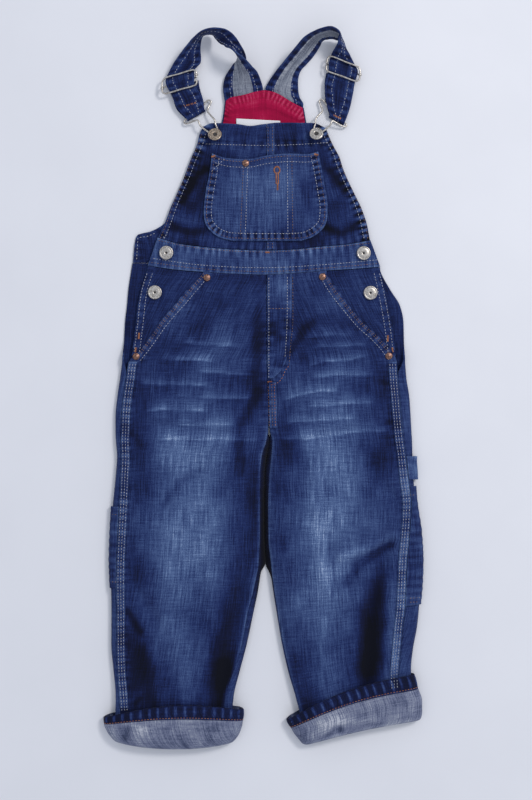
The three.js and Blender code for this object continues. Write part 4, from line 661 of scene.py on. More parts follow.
WHISKERS = [                  # pixels of the picture, from left to right along the sharp lower edge
    ([(180, 342.5), (208, 344.7), (238, 345.8)], 0.26),
    ([(160, 359), (197, 359.7), (218, 361)], 0.28),
    ([(197, 372), (218, 372.5), (232, 374), (253, 374.7)], 0.26),
    ([(138, 383), (162, 384), (192, 384), (215, 386)], 0.25),
    ([(198, 396.7), (218, 398), (238, 398.3), (255, 396)], 0.24),
    ([(145, 411), (167, 409), (180, 409.7), (198, 410), (208, 411.7)], 0.24),
    ([(175, 424), (200, 425), (235, 425)], 0.2),
    ([(157, 439), (192, 439), (225, 439.7), (262, 440)], 0.2),
    ([(302, 337), (325, 335), (355, 334.7)], 0.24), ([(312, 346.7), (342, 346), (367, 345)], 0.26),
    ([(307, 366), (325, 361), (350, 359.7), (367, 355)], 0.27),
    ([(308, 377.5), (340, 374.7), (375, 375)], 0.26),
    ([(282, 400), (300, 395), (317, 391), (342, 391)], 0.25),
    ([(305, 406), (325, 405), (350, 403), (375, 401.7)], 0.25),
    ([(283, 421.7), (308, 421), (325, 419), (358, 417.5)], 0.24),
    ([(278, 439), (308, 438), (325, 435), (367, 431), (392, 430)], 0.24),
]
PICTURE_X, PICTURE_Y = 264, 389.5     # the pixel over the garment's own zero
print(len(PATCHES["x"]), "soft patches and", len(WHISKERS), "streaks")


def from_picture(points):
    """Garment measures of pixels of the picture."""
    return [((px - PICTURE_X) * PIXEL, (PICTURE_Y - py) * PIXEL) for px, py in points]


def front_wear_and_shade(x, y, height):
    """How faded the fronts are, with painted shade in the deepest troughs; height is the relief, whose high
    places are paler.
    """
    wear = 0.27 + 0.045 * drift(x, y, 45, 11) + 0.03 * drift(x, y, 18, 12)
    for px, py, wide, tall, change in zip(*PATCHES.values()):
        wear = wear + change * np.exp(-((x - px) / wide) ** 2 - ((y - py) / tall) ** 2)
    for points, strength in WHISKERS:
        far, place, length = beside(from_picture(points), x, y + 0.8 * drift(x, y, 9, 14))
        ends = smooth((place + 2) / 14) * smooth((length + 2 - place) / 14)
        streak = smooth((far + 1.6) / 1.6) * np.exp(-np.maximum(far, 0) / 5.5)
        patchy = 1 + 0.35 * drift(x, y, 10, 15)
        wear = wear + strength * ends * streak * patchy * (np.abs(far) < 30)
    wear = wear + 0.4 * puckers(POCKET_PUCKERS, x, y)
    return wear + 0.15 * np.clip(height, -1.1, 0.7)


# %% [markdown]
# ## A section of a leg
# A leg that lies flat is a flattened tube. It is cut across at each y. The front lies on top, and
# drops in a soft roll at the outside fold and again at the inseam, or slopes gently to the centre
# seam on the hips. The same section gives the back, which lies on the table and turns up round both
# folds to meet the front at the seams. One form serves front, back, seams and pockets, so they fit
# on each other.

# %% Leg sections
def roll(t):
    """Side of a soft fold: steep at 0, level at 1."""
    return np.sqrt(np.maximum(0, 1 - (1 - np.clip(t, 0, 1)) ** 2.2))


class LegForm:
    """Sections of one leg at each y; s runs inwards from the outside fold."""

    def __init__(self, leg, y):
        self.y = np.asarray(y, float).reshape(-1, 1)
        for name in leg:
            if name != "y":
                setattr(self, name, read(leg, "y", self.y, name))
        across, down = self.inner_x - self.outer_x, self.inner_y - self.y
        self.width = np.hypot(across, down)
        self.along_x, self.along_y = across / self.width, down / self.width
        self.turn = np.sign(self.along_x)
        self.edge = np.abs(self.edge_x - self.outer_x) / np.abs(self.along_x)

    def plan(self, s):
        t = s / self.width
        bend = self.bow * 4 * t * (1 - t) * self.turn
        x = self.outer_x + self.along_x * s - self.along_y * bend
        return x, self.y + self.along_y * s + self.along_x * bend

    def top(self, s):
        """Smooth height of the front, with the largest folds."""
        left = self.width - s
        out = roll(s / OUTER_ROLL)
        level = np.sin(np.clip(left / CENTRE_SLOPE, 0, 1) * math.pi / 2)
        inn = mix(level, roll(left / INNER_ROLL), self.fold)
        base = self.outer_z + (self.crown - self.outer_z) * out - (self.crown - self.inner_z) * (1 - inn)
        return base - crease_depth(*self.plan(s)) * out * inn


def waist_bend(x, y):
    """The upper rows follow the curve of the waist seam."""
    bend = read(BAND_BOTTOM, "x", x, "y") - CLEAR - WAIST_Y
    return y + bend * smooth((y - (WAIST_Y - HIP_FADE)) / HIP_FADE)


def front_surface(form, s, lift=0):
    """Points on a front at s, and their relief."""
    x, y = form.plan(s)
    y = waist_bend(x, y)
    relief = front_relief(x, y)
    hold = smooth((s - form.edge + 4) / 10) * smooth((form.width - s + 3) / 9)
    points = np.stack([x, y, form.top(s) + relief * hold], axis=-1)
    return (lifted(points, lift) if lift else points), relief


# %% [markdown]
# ## From rows of points to a piece of cloth
# Every piece of cloth starts as a plain grid. Its corners are moved to the places that the form
# gives, its UV map is the distance along and across the cloth, so the yarn keeps its size, and a
# Solidify modifier gives it the thickness of one layer.

# %% Make a piece of cloth
EVERY_CLOTH = {}
TWO_SIDES = (INDIGO, REVERSE)


def place_on_part(points):
    """From the garment's own measures to metres of the part."""
    return (points - (MIDDLE_X, MIDDLE_Y, 0)) * MM


def lengths(points):
    """Distances across each row and along the middle of the rows."""
    across = np.linalg.norm(np.diff(points, axis=1), axis=2)
    u = np.concatenate([np.zeros((len(points), 1)), np.cumsum(across, axis=1)], axis=1)
    middle = points[:, points.shape[1] // 2]
    v = np.concatenate([[0], np.cumsum(np.linalg.norm(np.diff(middle, axis=0), axis=1))])
    return u, v


def cloth(part, points, wear, thick, materials=TWO_SIDES,
          outward="up", tube=False, material_of=None):
    """Piece of cloth that stands for a part, through rows of points, with its thickness inwards."""
    name = f"{part}_cloth"
    points = np.asarray(points, float)
    wear = np.broadcast_to(wear, points.shape[:2])
    normal = np.cross(np.gradient(points, axis=1), np.gradient(points, axis=0))
    height = points[..., 2]
    if outward == "up":
        wrong = normal[..., 2][height > np.percentile(height, 70)].sum() < 0
    elif outward == "down":
        wrong = normal[..., 2][height <= height.min() + 0.5].sum() > 0
    elif outward in ("left", "right"):
        wrong = (normal[..., 0].sum() < 0) == (outward == "right")
    else:
        wrong = False
    if wrong:
        points, wear = points[:, ::-1], wear[:, ::-1]
    rows, across = points.shape[:2]
    bm = bmesh.new()
    bmesh.ops.create_grid(bm, x_segments=across - 1, y_segments=rows - 1, size=0.5)
    mesh = bpy.data.meshes.new(name)
    bm.to_mesh(mesh)
    bm.free()
    flat = np.empty(3 * rows * across, np.float32)
    mesh.vertices.foreach_get("co", flat)
    flat = flat.reshape(-1, 3) + 0.5
    column = np.rint(flat[:, 0] * (across - 1)).astype(int)
    row = np.rint(flat[:, 1] * (rows - 1)).astype(int)
    mesh.vertices.foreach_set("co", place_on_part(points[row, column]).ravel())
    u, v = lengths(points)
    u = u - u[:, across // 2:across // 2 + 1]
    corner = np.empty(len(mesh.loops), np.int32)
    mesh.loops.foreach_get("vertex_index", corner)
    uv = np.stack([u[row, column], v[row]], axis=1) * MM
    mesh.uv_layers.new(name="cloth").data.foreach_set("uv", uv[corner].astype(np.float32).ravel())
    # Wear and painted shade go to the material as one attribute.
    shade = mesh.attributes.new("wear", "FLOAT", "POINT")
    shade.data.foreach_set("value", wear[row, column].astype(np.float32))
    for material in materials:
        mesh.materials.append(material)
    if material_of is not None:
        lowest = np.minimum.reduce([column[corner].reshape(-1, 4)[:, k] for k in range(4)])
        mesh.polygons.foreach_set("material_index", material_of(lowest, across).astype(np.int32))
    if tube:
        bm = bmesh.new()
        bm.from_mesh(mesh)
        bmesh.ops.remove_doubles(bm, verts=bm.verts, dist=0.002 * MM)
        bm.to_mesh(mesh)
        bm.free()
    mesh.shade_smooth()
    piece = bpy.data.objects.new(name, mesh)
    bpy.context.collection.objects.link(piece)
    layer = piece.modifiers.new("thickness of the cloth", "SOLIDIFY")
    layer.thickness = thick * MM
    layer.offset = -1
    layer.material_offset = min(len(materials) - 1, 1)
    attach(piece, "root")
    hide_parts(part)
    EVERY_CLOTH[name] = piece

# %% [markdown]
# ## Legs
# Front and back of each leg are cut as long panels. The fronts carry nearly all that shows, so
# their rows are close: a pucker of 8 mm needs at least five of them.

# %% Fronts of the legs
LEGS = {"left": LEFT_LEG, "right": RIGHT_LEG}
FRONT_ROWS = 290
FRONT_COLUMNS = 84
LOWEST_Y = {"left": -370, "right": -343}


def closer_at_ends(steps, amount=0.5):
    """Shares from 0 to 1, closer together near both ends."""
    even = np.linspace(0, 1, steps)
    return mix(even, (1 - np.cos(math.pi * even)) / 2, amount)


for side, leg in LEGS.items():
    form = LegForm(leg, np.linspace(WAIST_Y, LOWEST_Y[side], FRONT_ROWS))
    inner = form.width - np.maximum(form.inseam, SEAM_HALF)
    s = mix(form.edge, inner, closer_at_ends(FRONT_COLUMNS))
    points, relief = front_surface(form, s)
    wear = front_wear_and_shade(points[..., 0], points[..., 1], relief)
    wear = wear + 0.22 * bell((inner - s) / 2.5) * form.fold
    cloth(f"front_leg_{side}", points, wear, DENIM)

# %% [markdown]
# ## Backs of the legs
# The back starts at the outside seam, rolls over the fold, lies on the table and rolls up again to
# the inseam. On the hips it stands free in the side opening and then lies open. Each section is a
# short list of points, and a smooth line is run through them.

# %% Backs of the legs
QUARTER = np.radians([0, 30, 60, 90])
STANDING = np.array([(0.3, 8.4), (0.1, 6.8), (0, 5.2), (0.2, 3.6), (0.8, 2), (2.2, 0.7), (4.6, 0)])
LYING = np.array([(0, 0), (1.4, 0), (2.8, 0), (4.2, 0), (5.6, 0), (7, 0), (8.4, 0)])
FLAT_EDGE = (8.4, 6.8, 5.2, 3.6, 2, SEAM_HALF)
PAST_FOLD = 1.25              # mm; what the bend of the fold takes back


def to_other_leg(y):
    """Half the gap between the legs; between the thighs the backs bulge until they touch."""
    half = (read(RIGHT_LEG, "y", y, "inner_x") - read(LEFT_LEG, "y", y, "inner_x")) / 2
    return (1.08 * half + PAST_FOLD + 1.2 * smooth((y + 75) / 20)) * smooth((y + 200) / 14)


def back_line(form):
    """The back's outside, as (s, z) of 17 points for each row."""
    seam = form.edge - CLEAR
    folded = [(seam * t, form.top(seam * t)) for t in (1, 0.5, 0.15)]
    for angle in QUARTER:
        rise = form.floor + (form.outer_z - form.floor) * (1 - math.sin(angle))
        folded.append((FOLD_REACH * (1 - math.cos(angle)) + 0 * seam, rise))
    low_half = np.clip(form.wrap * 2, 0, 1)
    high_half = np.clip(form.wrap * 2 - 1, 0, 1)
    line = []
    for i, (s, z) in enumerate(folded):
        standing_s = mix(LYING[i, 0], STANDING[i, 0], low_half)
        standing_z = mix(LYING[i, 1], STANDING[i, 1], low_half)
        line.append((mix(standing_s, s, high_half), mix(standing_z, z, high_half)))
    start = line[-1][0]
    reach = mix(FLAT_EDGE[0], FOLD_REACH, form.fold)
    for part in (0.25, 0.5, 0.75):
        line.append((mix(start, form.width - reach, part), form.floor))
    seam_in = form.width - form.inseam + CLEAR
    seam_z = form.top(form.width - form.inseam) - 0.6 * CLEAR
    risen = []
    bulge = to_other_leg(form.y)
    for angle in QUARTER:
        rise = form.floor + (form.inner_z - SEAM_HALF - form.floor) * (1 - math.cos(angle))
        out = bulge * math.sin(2 * angle) ** 0.5 - FOLD_REACH * (1 - math.sin(angle))
        risen.append((form.width + out, rise))
    half = (form.width + seam_in) / 2
    risen += [(half, mix(form.inner_z, seam_z, 0.5)), (seam_in, seam_z)]
    for back, (s, z) in zip(FLAT_EDGE, risen):
        line.append((mix(form.width - back, s, form.fold), mix(form.floor, z, form.fold)))
    return line


def section_points(form, line, steps):
    """Smooth rows of points through the places (s, z) of a line."""
    places = [form.plan(s) + (z + 0 * s,) for s, z in line]
    return through(np.concatenate([np.stack(at, axis=-1) for at in places], axis=1), steps)


BACK_ROWS = 200
for side, leg in LEGS.items():
    form = LegForm(leg, np.linspace(TOP_Y, LOWEST_Y[side], BACK_ROWS))
    points = section_points(form, back_line(form), 72)
    x, y, z = points[..., 0], points[..., 1], points[..., 2]
    near = puckers(SIDE_PUCKERS, x, y)
    points[..., 2] = np.maximum(z + near * smooth((z - 2) / 3), 0)
    # painted shade: the backs are darkened along the middle, where the legs meet below the crotch
    between = bell((x - 2) / 14) * smooth((-40 - y) / 20)
    wear = 0.24 + 0.05 * drift(x, y, 30, 21) + 0.25 * near + 0.12 * smooth((z - 3) / 3) - 0.25 * between
    cloth(f"back_leg_{side}", points, wear, DENIM, (INDIGO,), outward="down")

# %% [markdown]
# ## Felled seams and fly
# In a felled seam the two edges are folded into each other and stitched flat, which leaves a narrow
# strip that stands up a little. The fly is a flap stitched down on the right front, with a curved
# end. Each is made as a strip lifted off the surface of the front, because it then follows every
# fold and pucker below it.

# %% Felled seams and fly
STRIP = 0.8
FELL_WIDTH = 9.3
FLY_CLOTH = 1
STRIP_END_Y = {"left": -343, "right": -303}
FLY = table("y width", [
    (124.5, 27), (107.5, 27), (90, 27), (73, 26.5), (55.5, 25.5), (42.5, 24), (30, 20), (20, 14), (12, 6)])


def on_front(part, leg, ys, start, end, columns, thick, wear):
    """Strip that lies on a front, from start(form) to end(form) across it."""
    form = LegForm(leg, ys)
    s = mix(start(form), end(form), np.linspace(0, 1, columns))
    points, relief = front_surface(form, s, CLEAR + thick)
    share = np.linspace(0, 1, columns)[None, :]
    rounded = 0.25 * (1 - smooth(np.minimum(share, 1 - share) * columns / 3))
    points[..., 2] -= rounded
    wear = wear + 0.3 * np.clip(relief, -0.5, 0.5) + 0.08 * (rounded > 0.1)
    wear = wear + 0.08 * drift(points[..., 0], points[..., 1], 9, 31)
    cloth(part, points, wear, thick)


for side, leg in LEGS.items():
    on_front(f"outseam_{side}", leg, np.linspace(30, STRIP_END_Y[side], 230),
             lambda form: form.edge + SEAM_HALF, lambda form: form.edge + FELL_WIDTH, 12, STRIP, 0.42)
fly_ys = np.linspace(WAIST_Y, 12, 90)
fly_width = read(FLY, "y", fly_ys.reshape(-1, 1), "width")
on_front("fly_flap", RIGHT_LEG, fly_ys, lambda form: form.width - fly_width,
         lambda form: form.width - 2 * SEAM_HALF, 22, FLY_CLOTH, 0.30)
on_front("crotch_seam", RIGHT_LEG, np.linspace(8, -42, 40), lambda form: form.width - 9,
         lambda form: form.width - 1, 10, STRIP, 0.36)

# %% [markdown]
# ## Side pieces of the hips
# Behind each slanted pocket edge lies a side piece with two buttons, one layer lower. Its outer edge
# is the side opening, which is turned in and stitched. It is a plain sheet between that edge and a
# line a little way under the pocket edge, so no gap can show.

# %% Side pieces of the hips
UNDERLAP = 8
for side, leg, vent in (("left", LEFT_LEG, VENT_LEFT), ("right", RIGHT_LEG, VENT_RIGHT)):
    ys = np.linspace(WAIST_Y, VENT_END_Y, 70)
    form = LegForm(leg, ys)
    vent_top = read(BAND_BOTTOM, "x", vent["x"][0], "y")
    vent_y = mix(ys, vent_top, (ys - VENT_END_Y) ** 4 / (WAIST_Y - VENT_END_Y) ** 4)
    start = read(vent, "y", vent_y, "x").reshape(-1, 1)
    end = form.edge_x + form.turn * UNDERLAP
    x = mix(start, end, np.linspace(0, 1, 40))
    z = np.maximum(form.top(np.abs(x - form.outer_x)) - DENIM - CLEAR - 0.1, 2 * DENIM + 2 * CLEAR)
    y = waist_bend(x, form.y + 0 * x)
    band = smooth((9 - np.abs(x - start)) / 0.8)
    edge = [(float(a), float(b)) for a, b in zip(start[:, 0], y[:, 0])]
    ripple = puckers([(edge, 9, 8.5, 0.3)], x, y)
    low = smooth((np.abs(x - end) - 8) / 4)
    z = z + (0.35 * band + ripple) * low
    wear = 0.27 + 0.05 * drift(x, y, 20, 41) + 0.3 * ripple + 0.05 * band
    cloth(f"hip_side_{side}", np.stack([x, y, z], axis=-1), wear, DENIM)

# %% [markdown]
# ## Bib
# The bib is two halves felled together at the centre. Its top and sides are turned in and stitched,
# so they stand up as bands, and the top band gathers into soft waves between its ends. Hems could be
# separate strips, but here they are one cloth with the bib, as on the real one, so the step at
# their edge is part of its height.

# %% Height of the bib
BIB_EDGE_Z, BIB_EDGE_ROLL = 3.7, 15
STEP_WIDE = 0.8               # a turned-in band steps down over this width
BIB_PUCKERS = [
    ([(3, 286), (3, 152)], 7, 9, 0.18), ([(-64, 265.2), (2, 263.4), (68, 266.5)], 6, 9, 0.28),
    (list(zip(BIB_SIDES["left"] + 5, BIB_SIDES["y"])), 6, 7.5, 0.4),
    (list(zip(BIB_SIDES["right"] - 5, BIB_SIDES["y"])), 6, 7.5, 0.4),
    (list(zip(BAND_TOP["x"], BAND_TOP["y"] + 2)), 6, 9, 0.3),
]
BIB_CREASES = [
    ([(-88, 205), (-74, 230), (-62, 238)], 5, 0.6), ([(72, 236), (88, 214)], 5, 0.6),
    ([(-98, 176), (-80, 170), (-64, 172)], 5, 0.6), ([(66, 176), (84, 168), (102, 178)], 5, 0.6),
]


def bib_height(x, y):
    """Top of the bib at x, y, and what the relief added."""
    middle = read(BIB_HEIGHT, "y", y, "z")
    to_side = np.minimum(x - read(BIB_SIDES, "y", y, "left"), read(BIB_SIDES, "y", y, "right") - x)
    to_top = read(BIB_TOP, "x", x, "y") - y
    z = mix(BIB_EDGE_Z, middle, smooth(to_side / BIB_EDGE_ROLL))
    for fold_x, width, depth in HEM_FOLDS:
        z = z - depth * smooth((y - 235) / 30) * bell((x - fold_x) / width)
    band = np.maximum(smooth((SIDE_HEM - to_side) / STEP_WIDE), smooth((TOP_HEM - to_top) / STEP_WIDE))
    relief = 0.2 * drift(x, y, 25, 51) + 0.15 * drift(x, y, 11, 52) + puckers(BIB_PUCKERS, x, y)
    relief = (relief - pressed(BIB_CREASES, x, y)) * smooth((to_side + 1) / 4)
    return z + HEM_RISE * band + relief, relief, band, to_side, to_top


def bib_wear(x, y, relief, band, to_side, to_top):
    rubbed = bell(to_side / 1.3) + bell(to_top / 1.3)
    step = bell((to_side - SIDE_HEM) / 1.2) + bell((to_top - TOP_HEM) / 1.5)
    wear = 0.29 + 0.05 * drift(x, y, 22, 53) + 0.03 * drift(x, y, 9, 54) + 0.10 * rubbed - 0.06 * step
    drawn = np.clip(puckers(BIB_PUCKERS, x, y) / 0.4, -1, 1) * bell(to_side / 9)
    return wear + 0.42 * relief + 0.24 * drawn + 0.03 * band - 0.05


side_y = np.linspace(284.5, 162.5, 92)
for side, end in (("left", CENTRE_X - SEAM_HALF), ("right", CENTRE_X + SEAM_HALF)):
    edge = read(BIB_SIDES, "y", side_y, side).reshape(-1, 1)
    x = mix(edge, end, closer_at_ends(66))
    down = ((284.5 - side_y) / (284.5 - 162.5)).reshape(-1, 1)
    y = mix(read(BIB_TOP, "x", x, "y"), read(BAND_TOP, "x", x, "y") + 1.5 * CLEAR, down)
    z, *shape = bib_height(x, y)
    cloth(f"bib_{side}", np.stack([x, y, z], axis=-1), bib_wear(x, y, *shape), DENIM)

# %% [markdown]
# ## Seam down the middle of the bib
# The same felled strip as on the legs. It shows above the pocket and again in a short piece below
# it, so one loop makes both.

# %% Felled seam of the bib
BIB_FELL = 8
for name, high, low, rows in (("upper", 286, 178, 120), ("lower", 159.5, 151.2, 12)):
    share = np.linspace(0, 1, 12)
    y = np.linspace(high, low, rows).reshape(-1, 1) + 0 * share
    x = CENTRE_X + SEAM_HALF + BIB_FELL * share + 0 * y
    plain, relief, *_ = bib_height(x, y)
    rounded = 0.25 * (1 - smooth(np.minimum(share, 1 - share) * 4))
    z = plain + CLEAR + STRIP - rounded
    wear = 0.33 + 0.35 * relief + 0.05 * drift(x, y, 12, 55) + 0.1 * (rounded > 0.1)
    cloth(f"bib_seam_{name}", np.stack([x, y, z], axis=-1), wear, STRIP)

# %% [markdown]
# ## Bib pocket
# The pocket is one panel with turned-in edges, sewn over the bib. It isn't quite flat on it, so its
# middle bows away by 1.5 mm. Its form is the height of the bib below, plus that bow, plus the bands
# of its hems. The edge between the two rows of stitches is where denim puckers and fades most.

# %% Bib pocket
POCKET_CLOTH = 1.2
POCKET_BOW = 1.5
POCKET_WIDE, POCKET_LONG = 125, 93
POCKET_EDGE = list(zip(POCKET_SIDES["left"], POCKET_SIDES["y"]))
POCKET_EDGE += list(zip(POCKET_SIDES["right"][::-1], POCKET_SIDES["y"][::-1]))


def pocket_height(x, y, across, down):
    """Top of the pocket's cloth, its relief, the distance from its edge, and the edge's puckers."""
    to_side = np.minimum(across, 1 - across)
    bow = smooth(to_side / 0.2) * smooth((1 - down) / 0.16)
    base = bib_height(x, y)[0]
    flat = read(BIB_HEIGHT, "y", y, "z") + 0.25
    base = mix(base, flat, smooth(to_side / 0.08) * smooth((1 - down) / 0.08))
    side_mm = to_side * POCKET_WIDE
    mouth_mm = down * POCKET_LONG
    band = np.maximum(smooth((9 - side_mm) / 0.9), smooth((10 - mouth_mm) / 0.9))
    band = np.maximum(band, smooth((5 - (1 - down) * POCKET_LONG) / 0.9))
    far = np.abs(beside(POCKET_EDGE, x, y)[0])
    relief = 0.22 * drift(x, y, 24, 61) + 0.12 * drift(x, y, 10, 62)
    waves = puckers([(POCKET_EDGE, 30, 7.2, 0.3)], x, y) * bell((far - 5) / 5)
    relief = relief + waves
    hold = smooth(far / 2.5) * smooth((mouth_mm + 1) / 3)
    height = base + CLEAR + POCKET_BOW * bow + POCKET_CLOTH + 0.5 * band + relief * hold
    return height, relief, far, waves


pocket_y = np.linspace(254, 160.5, 92).reshape(-1, 1)
across = closer_at_ends(106, 0.35)[None, :]
x = mix(read(POCKET_SIDES, "y", pocket_y, "left"), read(POCKET_SIDES, "y", pocket_y, "right"), across)
down = (254 - pocket_y) / 93.5 + 0 * x
y = pocket_y + (read(POCKET_MOUTH, "x", x, "y") - 254) * (1 - down) ** 3
z, relief, far, waves = pocket_height(x, y, across + 0 * x, down)
middle = np.exp(-((x - 2) / 42) ** 4 - ((y - 208) / 34) ** 4)
rubbed_edge = bell(far / 1.6) + bell(down * POCKET_LONG / 1.8)
inside_hem = bell((far - 6) / 3)
wear = 0.33 + 0.17 * middle + 0.05 * drift(x, y, 20, 63) + 0.3 * relief + 0.16 * rubbed_edge
wear = wear + 0.55 * waves - 0.06 * inside_hem
cloth("bib_pocket", np.stack([x, y, z], axis=-1), wear, POCKET_CLOTH)

# %% [markdown]
# ## Waistband
# The waistband joins bib and legs and hangs on a button at each side. It is a folded strip, curved
# with the waist, and stitched along both edges, so it puckers along both. Its rows run from the
# upper edge to the lower one, and bend over a little at each.

# %% Waistband
BAND_RISE = 0.5
BAND_ROWS = 26
BAND_WIDE = 24


def band_height(x):
    """Top of the waistband, lower at its ends."""
    return mix(5.6, 5.1, smooth((np.abs(x) - 60) / 60)) + BAND_RISE


share = np.linspace(0, 1, 170)[None, :]
down = closer_at_ends(BAND_ROWS, 0.5).reshape(-1, 1)
top_x, low_x = mix(-115, 115, share), mix(-125.5, 125.5, share)
x = mix(top_x, low_x, down)
y = mix(read(BAND_TOP, "x", top_x, "y"), read(BAND_BOTTOM, "x", low_x, "y"), down)
waves = puckers([(list(zip(BAND_TOP["x"], BAND_TOP["y"] - 3)), 6, 8.5, 0.3),
                 (list(zip(BAND_BOTTOM["x"], BAND_BOTTOM["y"] + 4)), 6, 8.2, 0.3)], x, y)
relief = waves + 0.2 * drift(x, y, 22, 71) + 0.12 * drift(x, y, 9, 72)
from_edge = np.minimum(down, 1 - down) * BAND_WIDE
level = smooth(from_edge / 2)
z = band_height(x) + relief * level - 0.35 * (1 - level)
wear = 0.43 + 0.30 * relief + 0.3 * waves + 0.05 * drift(x, y, 18, 73)
wear = wear + 0.15 * bell(from_edge / 1.5)
cloth("waistband", np.stack([x, y, z], axis=-1), wear, DENIM)

# %% [markdown]
# ## Back bib, facing and label
# The back reaches up behind the bib and shows as two stitched edges at its sides and, above it, as
# a red facing with a plain white label, under which the strap ends are sewn. The back and the
# facing are sheets with the outline of the back, the facing drawn in a little, so they nest, and the
# label is a small sheet on the facing. The facing rises over the strap ends, and its narrow hem is
# drawn into close, small puckers.

# %% Back bib, red facing and label
FACING_CLOTH = 1.0
STRAP_UNDER = table("x depth", [(-43, 13), (-20, 16), (0, 17.5), (20, 16.5), (43, 11)])
STRAP_CLOTH = 1.4


def back_plan(inset, first_y, rows, columns):
    """Places over the back's outline, and how far each is from its sides."""
    levels = np.linspace(first_y, 309, rows).reshape(-1, 1)
    left = read(BACK_BIB, "y", levels, "left") + inset
    right = read(BACK_BIB, "y", levels, "right") - inset
    x = mix(left, right, closer_at_ends(columns, 0.4)[None, :])
    share = np.clip((levels - (BACK_WAIST_Y + CLEAR)) / (309 - BACK_WAIST_Y - CLEAR), 0, 1)
    reach = (read(BACK_TOP, "x", x, "y") - inset - 309) * share ** 4
    return x, levels + reach, np.minimum(x - left, right - x)


def facing_height(x, y):
    """Top of the facing, which rises over the ends of the straps."""
    to_top = read(BACK_TOP, "x", x, "y") - y
    over = read(STRAP_UNDER, "x", x, "depth") + 6 - to_top
    under = DENIM + CLEAR + (STRAP_CLOTH + CLEAR + 0.1) * smooth(over / 6)
    return under + FACING_CLOTH


x, y, to_side = back_plan(0, BACK_WAIST_Y + CLEAR, 130, 90)
back_edges = [(list(zip(BACK_BIB[side], BACK_BIB["y"])), 8, 9, 0.35) for side in ("left", "right")]
ripple = puckers(back_edges, x, y) * smooth((280 - y) / 15)
z = DENIM + 0 * x + np.maximum(ripple, 0) + 0.3 * smooth((8 - to_side) / 0.8)
wear = 0.27 + 0.05 * drift(x, y, 22, 81) + 0.35 * ripple + 0.12 * bell(to_side / 1.3)
cloth("back_bib", np.stack([x, y, z], axis=-1), wear, DENIM, (INDIGO,))

x, y, to_side = back_plan(1.3, 262, 60, 90)
to_top = read(BACK_TOP, "x", x, "y") - y
facing_hem = [(-50, 270), (-42, 300), *zip(BACK_TOP["x"][1:-1] * 0.93, BACK_TOP["y"][1:-1] - 5),
              (42, 296), (50, 268)]
ripple = puckers([(facing_hem, 5, 4.6, 0.3)], x, y)
near_top = smooth((16 - to_top) / 3)
z = facing_height(x, y) + ripple * smooth(to_top / 2) + 0.12 * drift(x, y, 12, 83)
wear = 0.42 + 0.10 * drift(x, y, 14, 84) + 0.75 * ripple + 0.08 * near_top
cloth("back_facing", np.stack([x, y, z], axis=-1), wear, FACING_CLOTH,
      (RED_TWILL,))

LABEL_CLOTH = 0.6
share = np.linspace(0, 1, 40)[None, :]
down = np.linspace(0, 1, 20).reshape(-1, 1)
x = mix(-30, 17.5, share) + 0 * down
y = mix(293 - 2.5 * share, 276, down)
z = facing_height(x, y) + CLEAR + LABEL_CLOTH + 0.12 * drift(x, y, 12, 85)
cloth("label", np.stack([x, y, z], axis=-1), 0.55, LABEL_CLOTH,
      (WHITE_TAPE,))

# %% [markdown]
# ## Turned-up cuffs
# Each leg end is folded outwards once, so its grey-blue reverse shows, with the leg's hem on top as
# a dark band. Both are closed rings of cloth round the leg: every loop is a section of the leg's
# end, a little wider than the leg, and the loops turn over at the lower fold.

# %% Cuffs and their hems
CUFF_COLUMNS = "v outer_x outer_y inner_x inner_y bow height side"
CUFFS = {
    "left": table(CUFF_COLUMNS, [
        (0, -173, -353, -22, -344.5, 10, 17.4, 7.5), (0.3, -172.5, -360, -22.5, -356, 5.5, 17.6, 7.5),
        (0.6, -170, -367.5, -25, -367.5, -2, 17.6, 7.5), (1, -162, -379, -32.5, -380, -6.5, 15.4, 7)]),
    "right": table(CUFF_COLUMNS, [
        (0, 162, -306.5, 24, -355.5, 9, 17.4, 7.5), (0.3, 166, -321.5, 28.5, -364, 7.5, 17.6, 7.5),
        (0.6, 171, -338.5, 34.5, -374, 5.5, 17.6, 7.5), (1, 169.5, -356, 43.5, -383.5, 3.5, 15.4, 7)]),
}
CUFF_PATH = [(0.32, 0), (0.5, 0), (0.75, 0), (0.95, 0.2), (1, 1.4), (1, 3), (0.95, 4.2), (0.8, 4.2)]
HEM_PATH = [(0, 0), (0.15, -0.2), (0.31, 0)]
CUFF_TOP = (0.97, 0.9, 0.78, 0.64, 0.5, 0.36, 0.22, 0.1, 0.03)
CUFF_CORNER = np.radians([0, 35, 65, 90])


def cuff_loop(leg, v, inset):
    """Closed section round a leg's end, at v down the cuff, moved inwards by inset."""
    at = {name: float(read(leg, "v", np.float64(v), name)) for name in leg if name != "v"}
    across = np.array([at["inner_x"] - at["outer_x"], at["inner_y"] - at["outer_y"]])
    width = np.hypot(*across)
    along = across / width
    up = np.array([-along[1], along[0]]) * np.sign(along[0])
    line = []
    for t in CUFF_TOP:
        rise = roll(t * width / 40) * roll((1 - t) * width / 40)
        line.append((t * width, at["side"] + (at["height"] - at["side"]) * rise))
    corner = [(6 * (1 - math.cos(a)), at["side"] * (1 - math.sin(a))) for a in CUFF_CORNER]
    line += corner + [(t * width, 0) for t in (0.3, 0.5, 0.7)]
    line += [(width - s, z) for s, z in corner[::-1]]
    line = np.array(line)
    step = np.roll(line, -1, axis=0) - np.roll(line, 1, axis=0)
    normal = np.stack([-step[:, 1], step[:, 0]], axis=1) / np.linalg.norm(step, axis=1, keepdims=True)
    line = line + normal * inset
    t = line[:, 0] / width
    bend = at["bow"] * 4 * t * (1 - t)
    plan = np.array([at["outer_x"], at["outer_y"]]) + line[:, :1] * along + bend[:, None] * up
    return np.column_stack([plan, np.maximum(0, line[:, 1])])


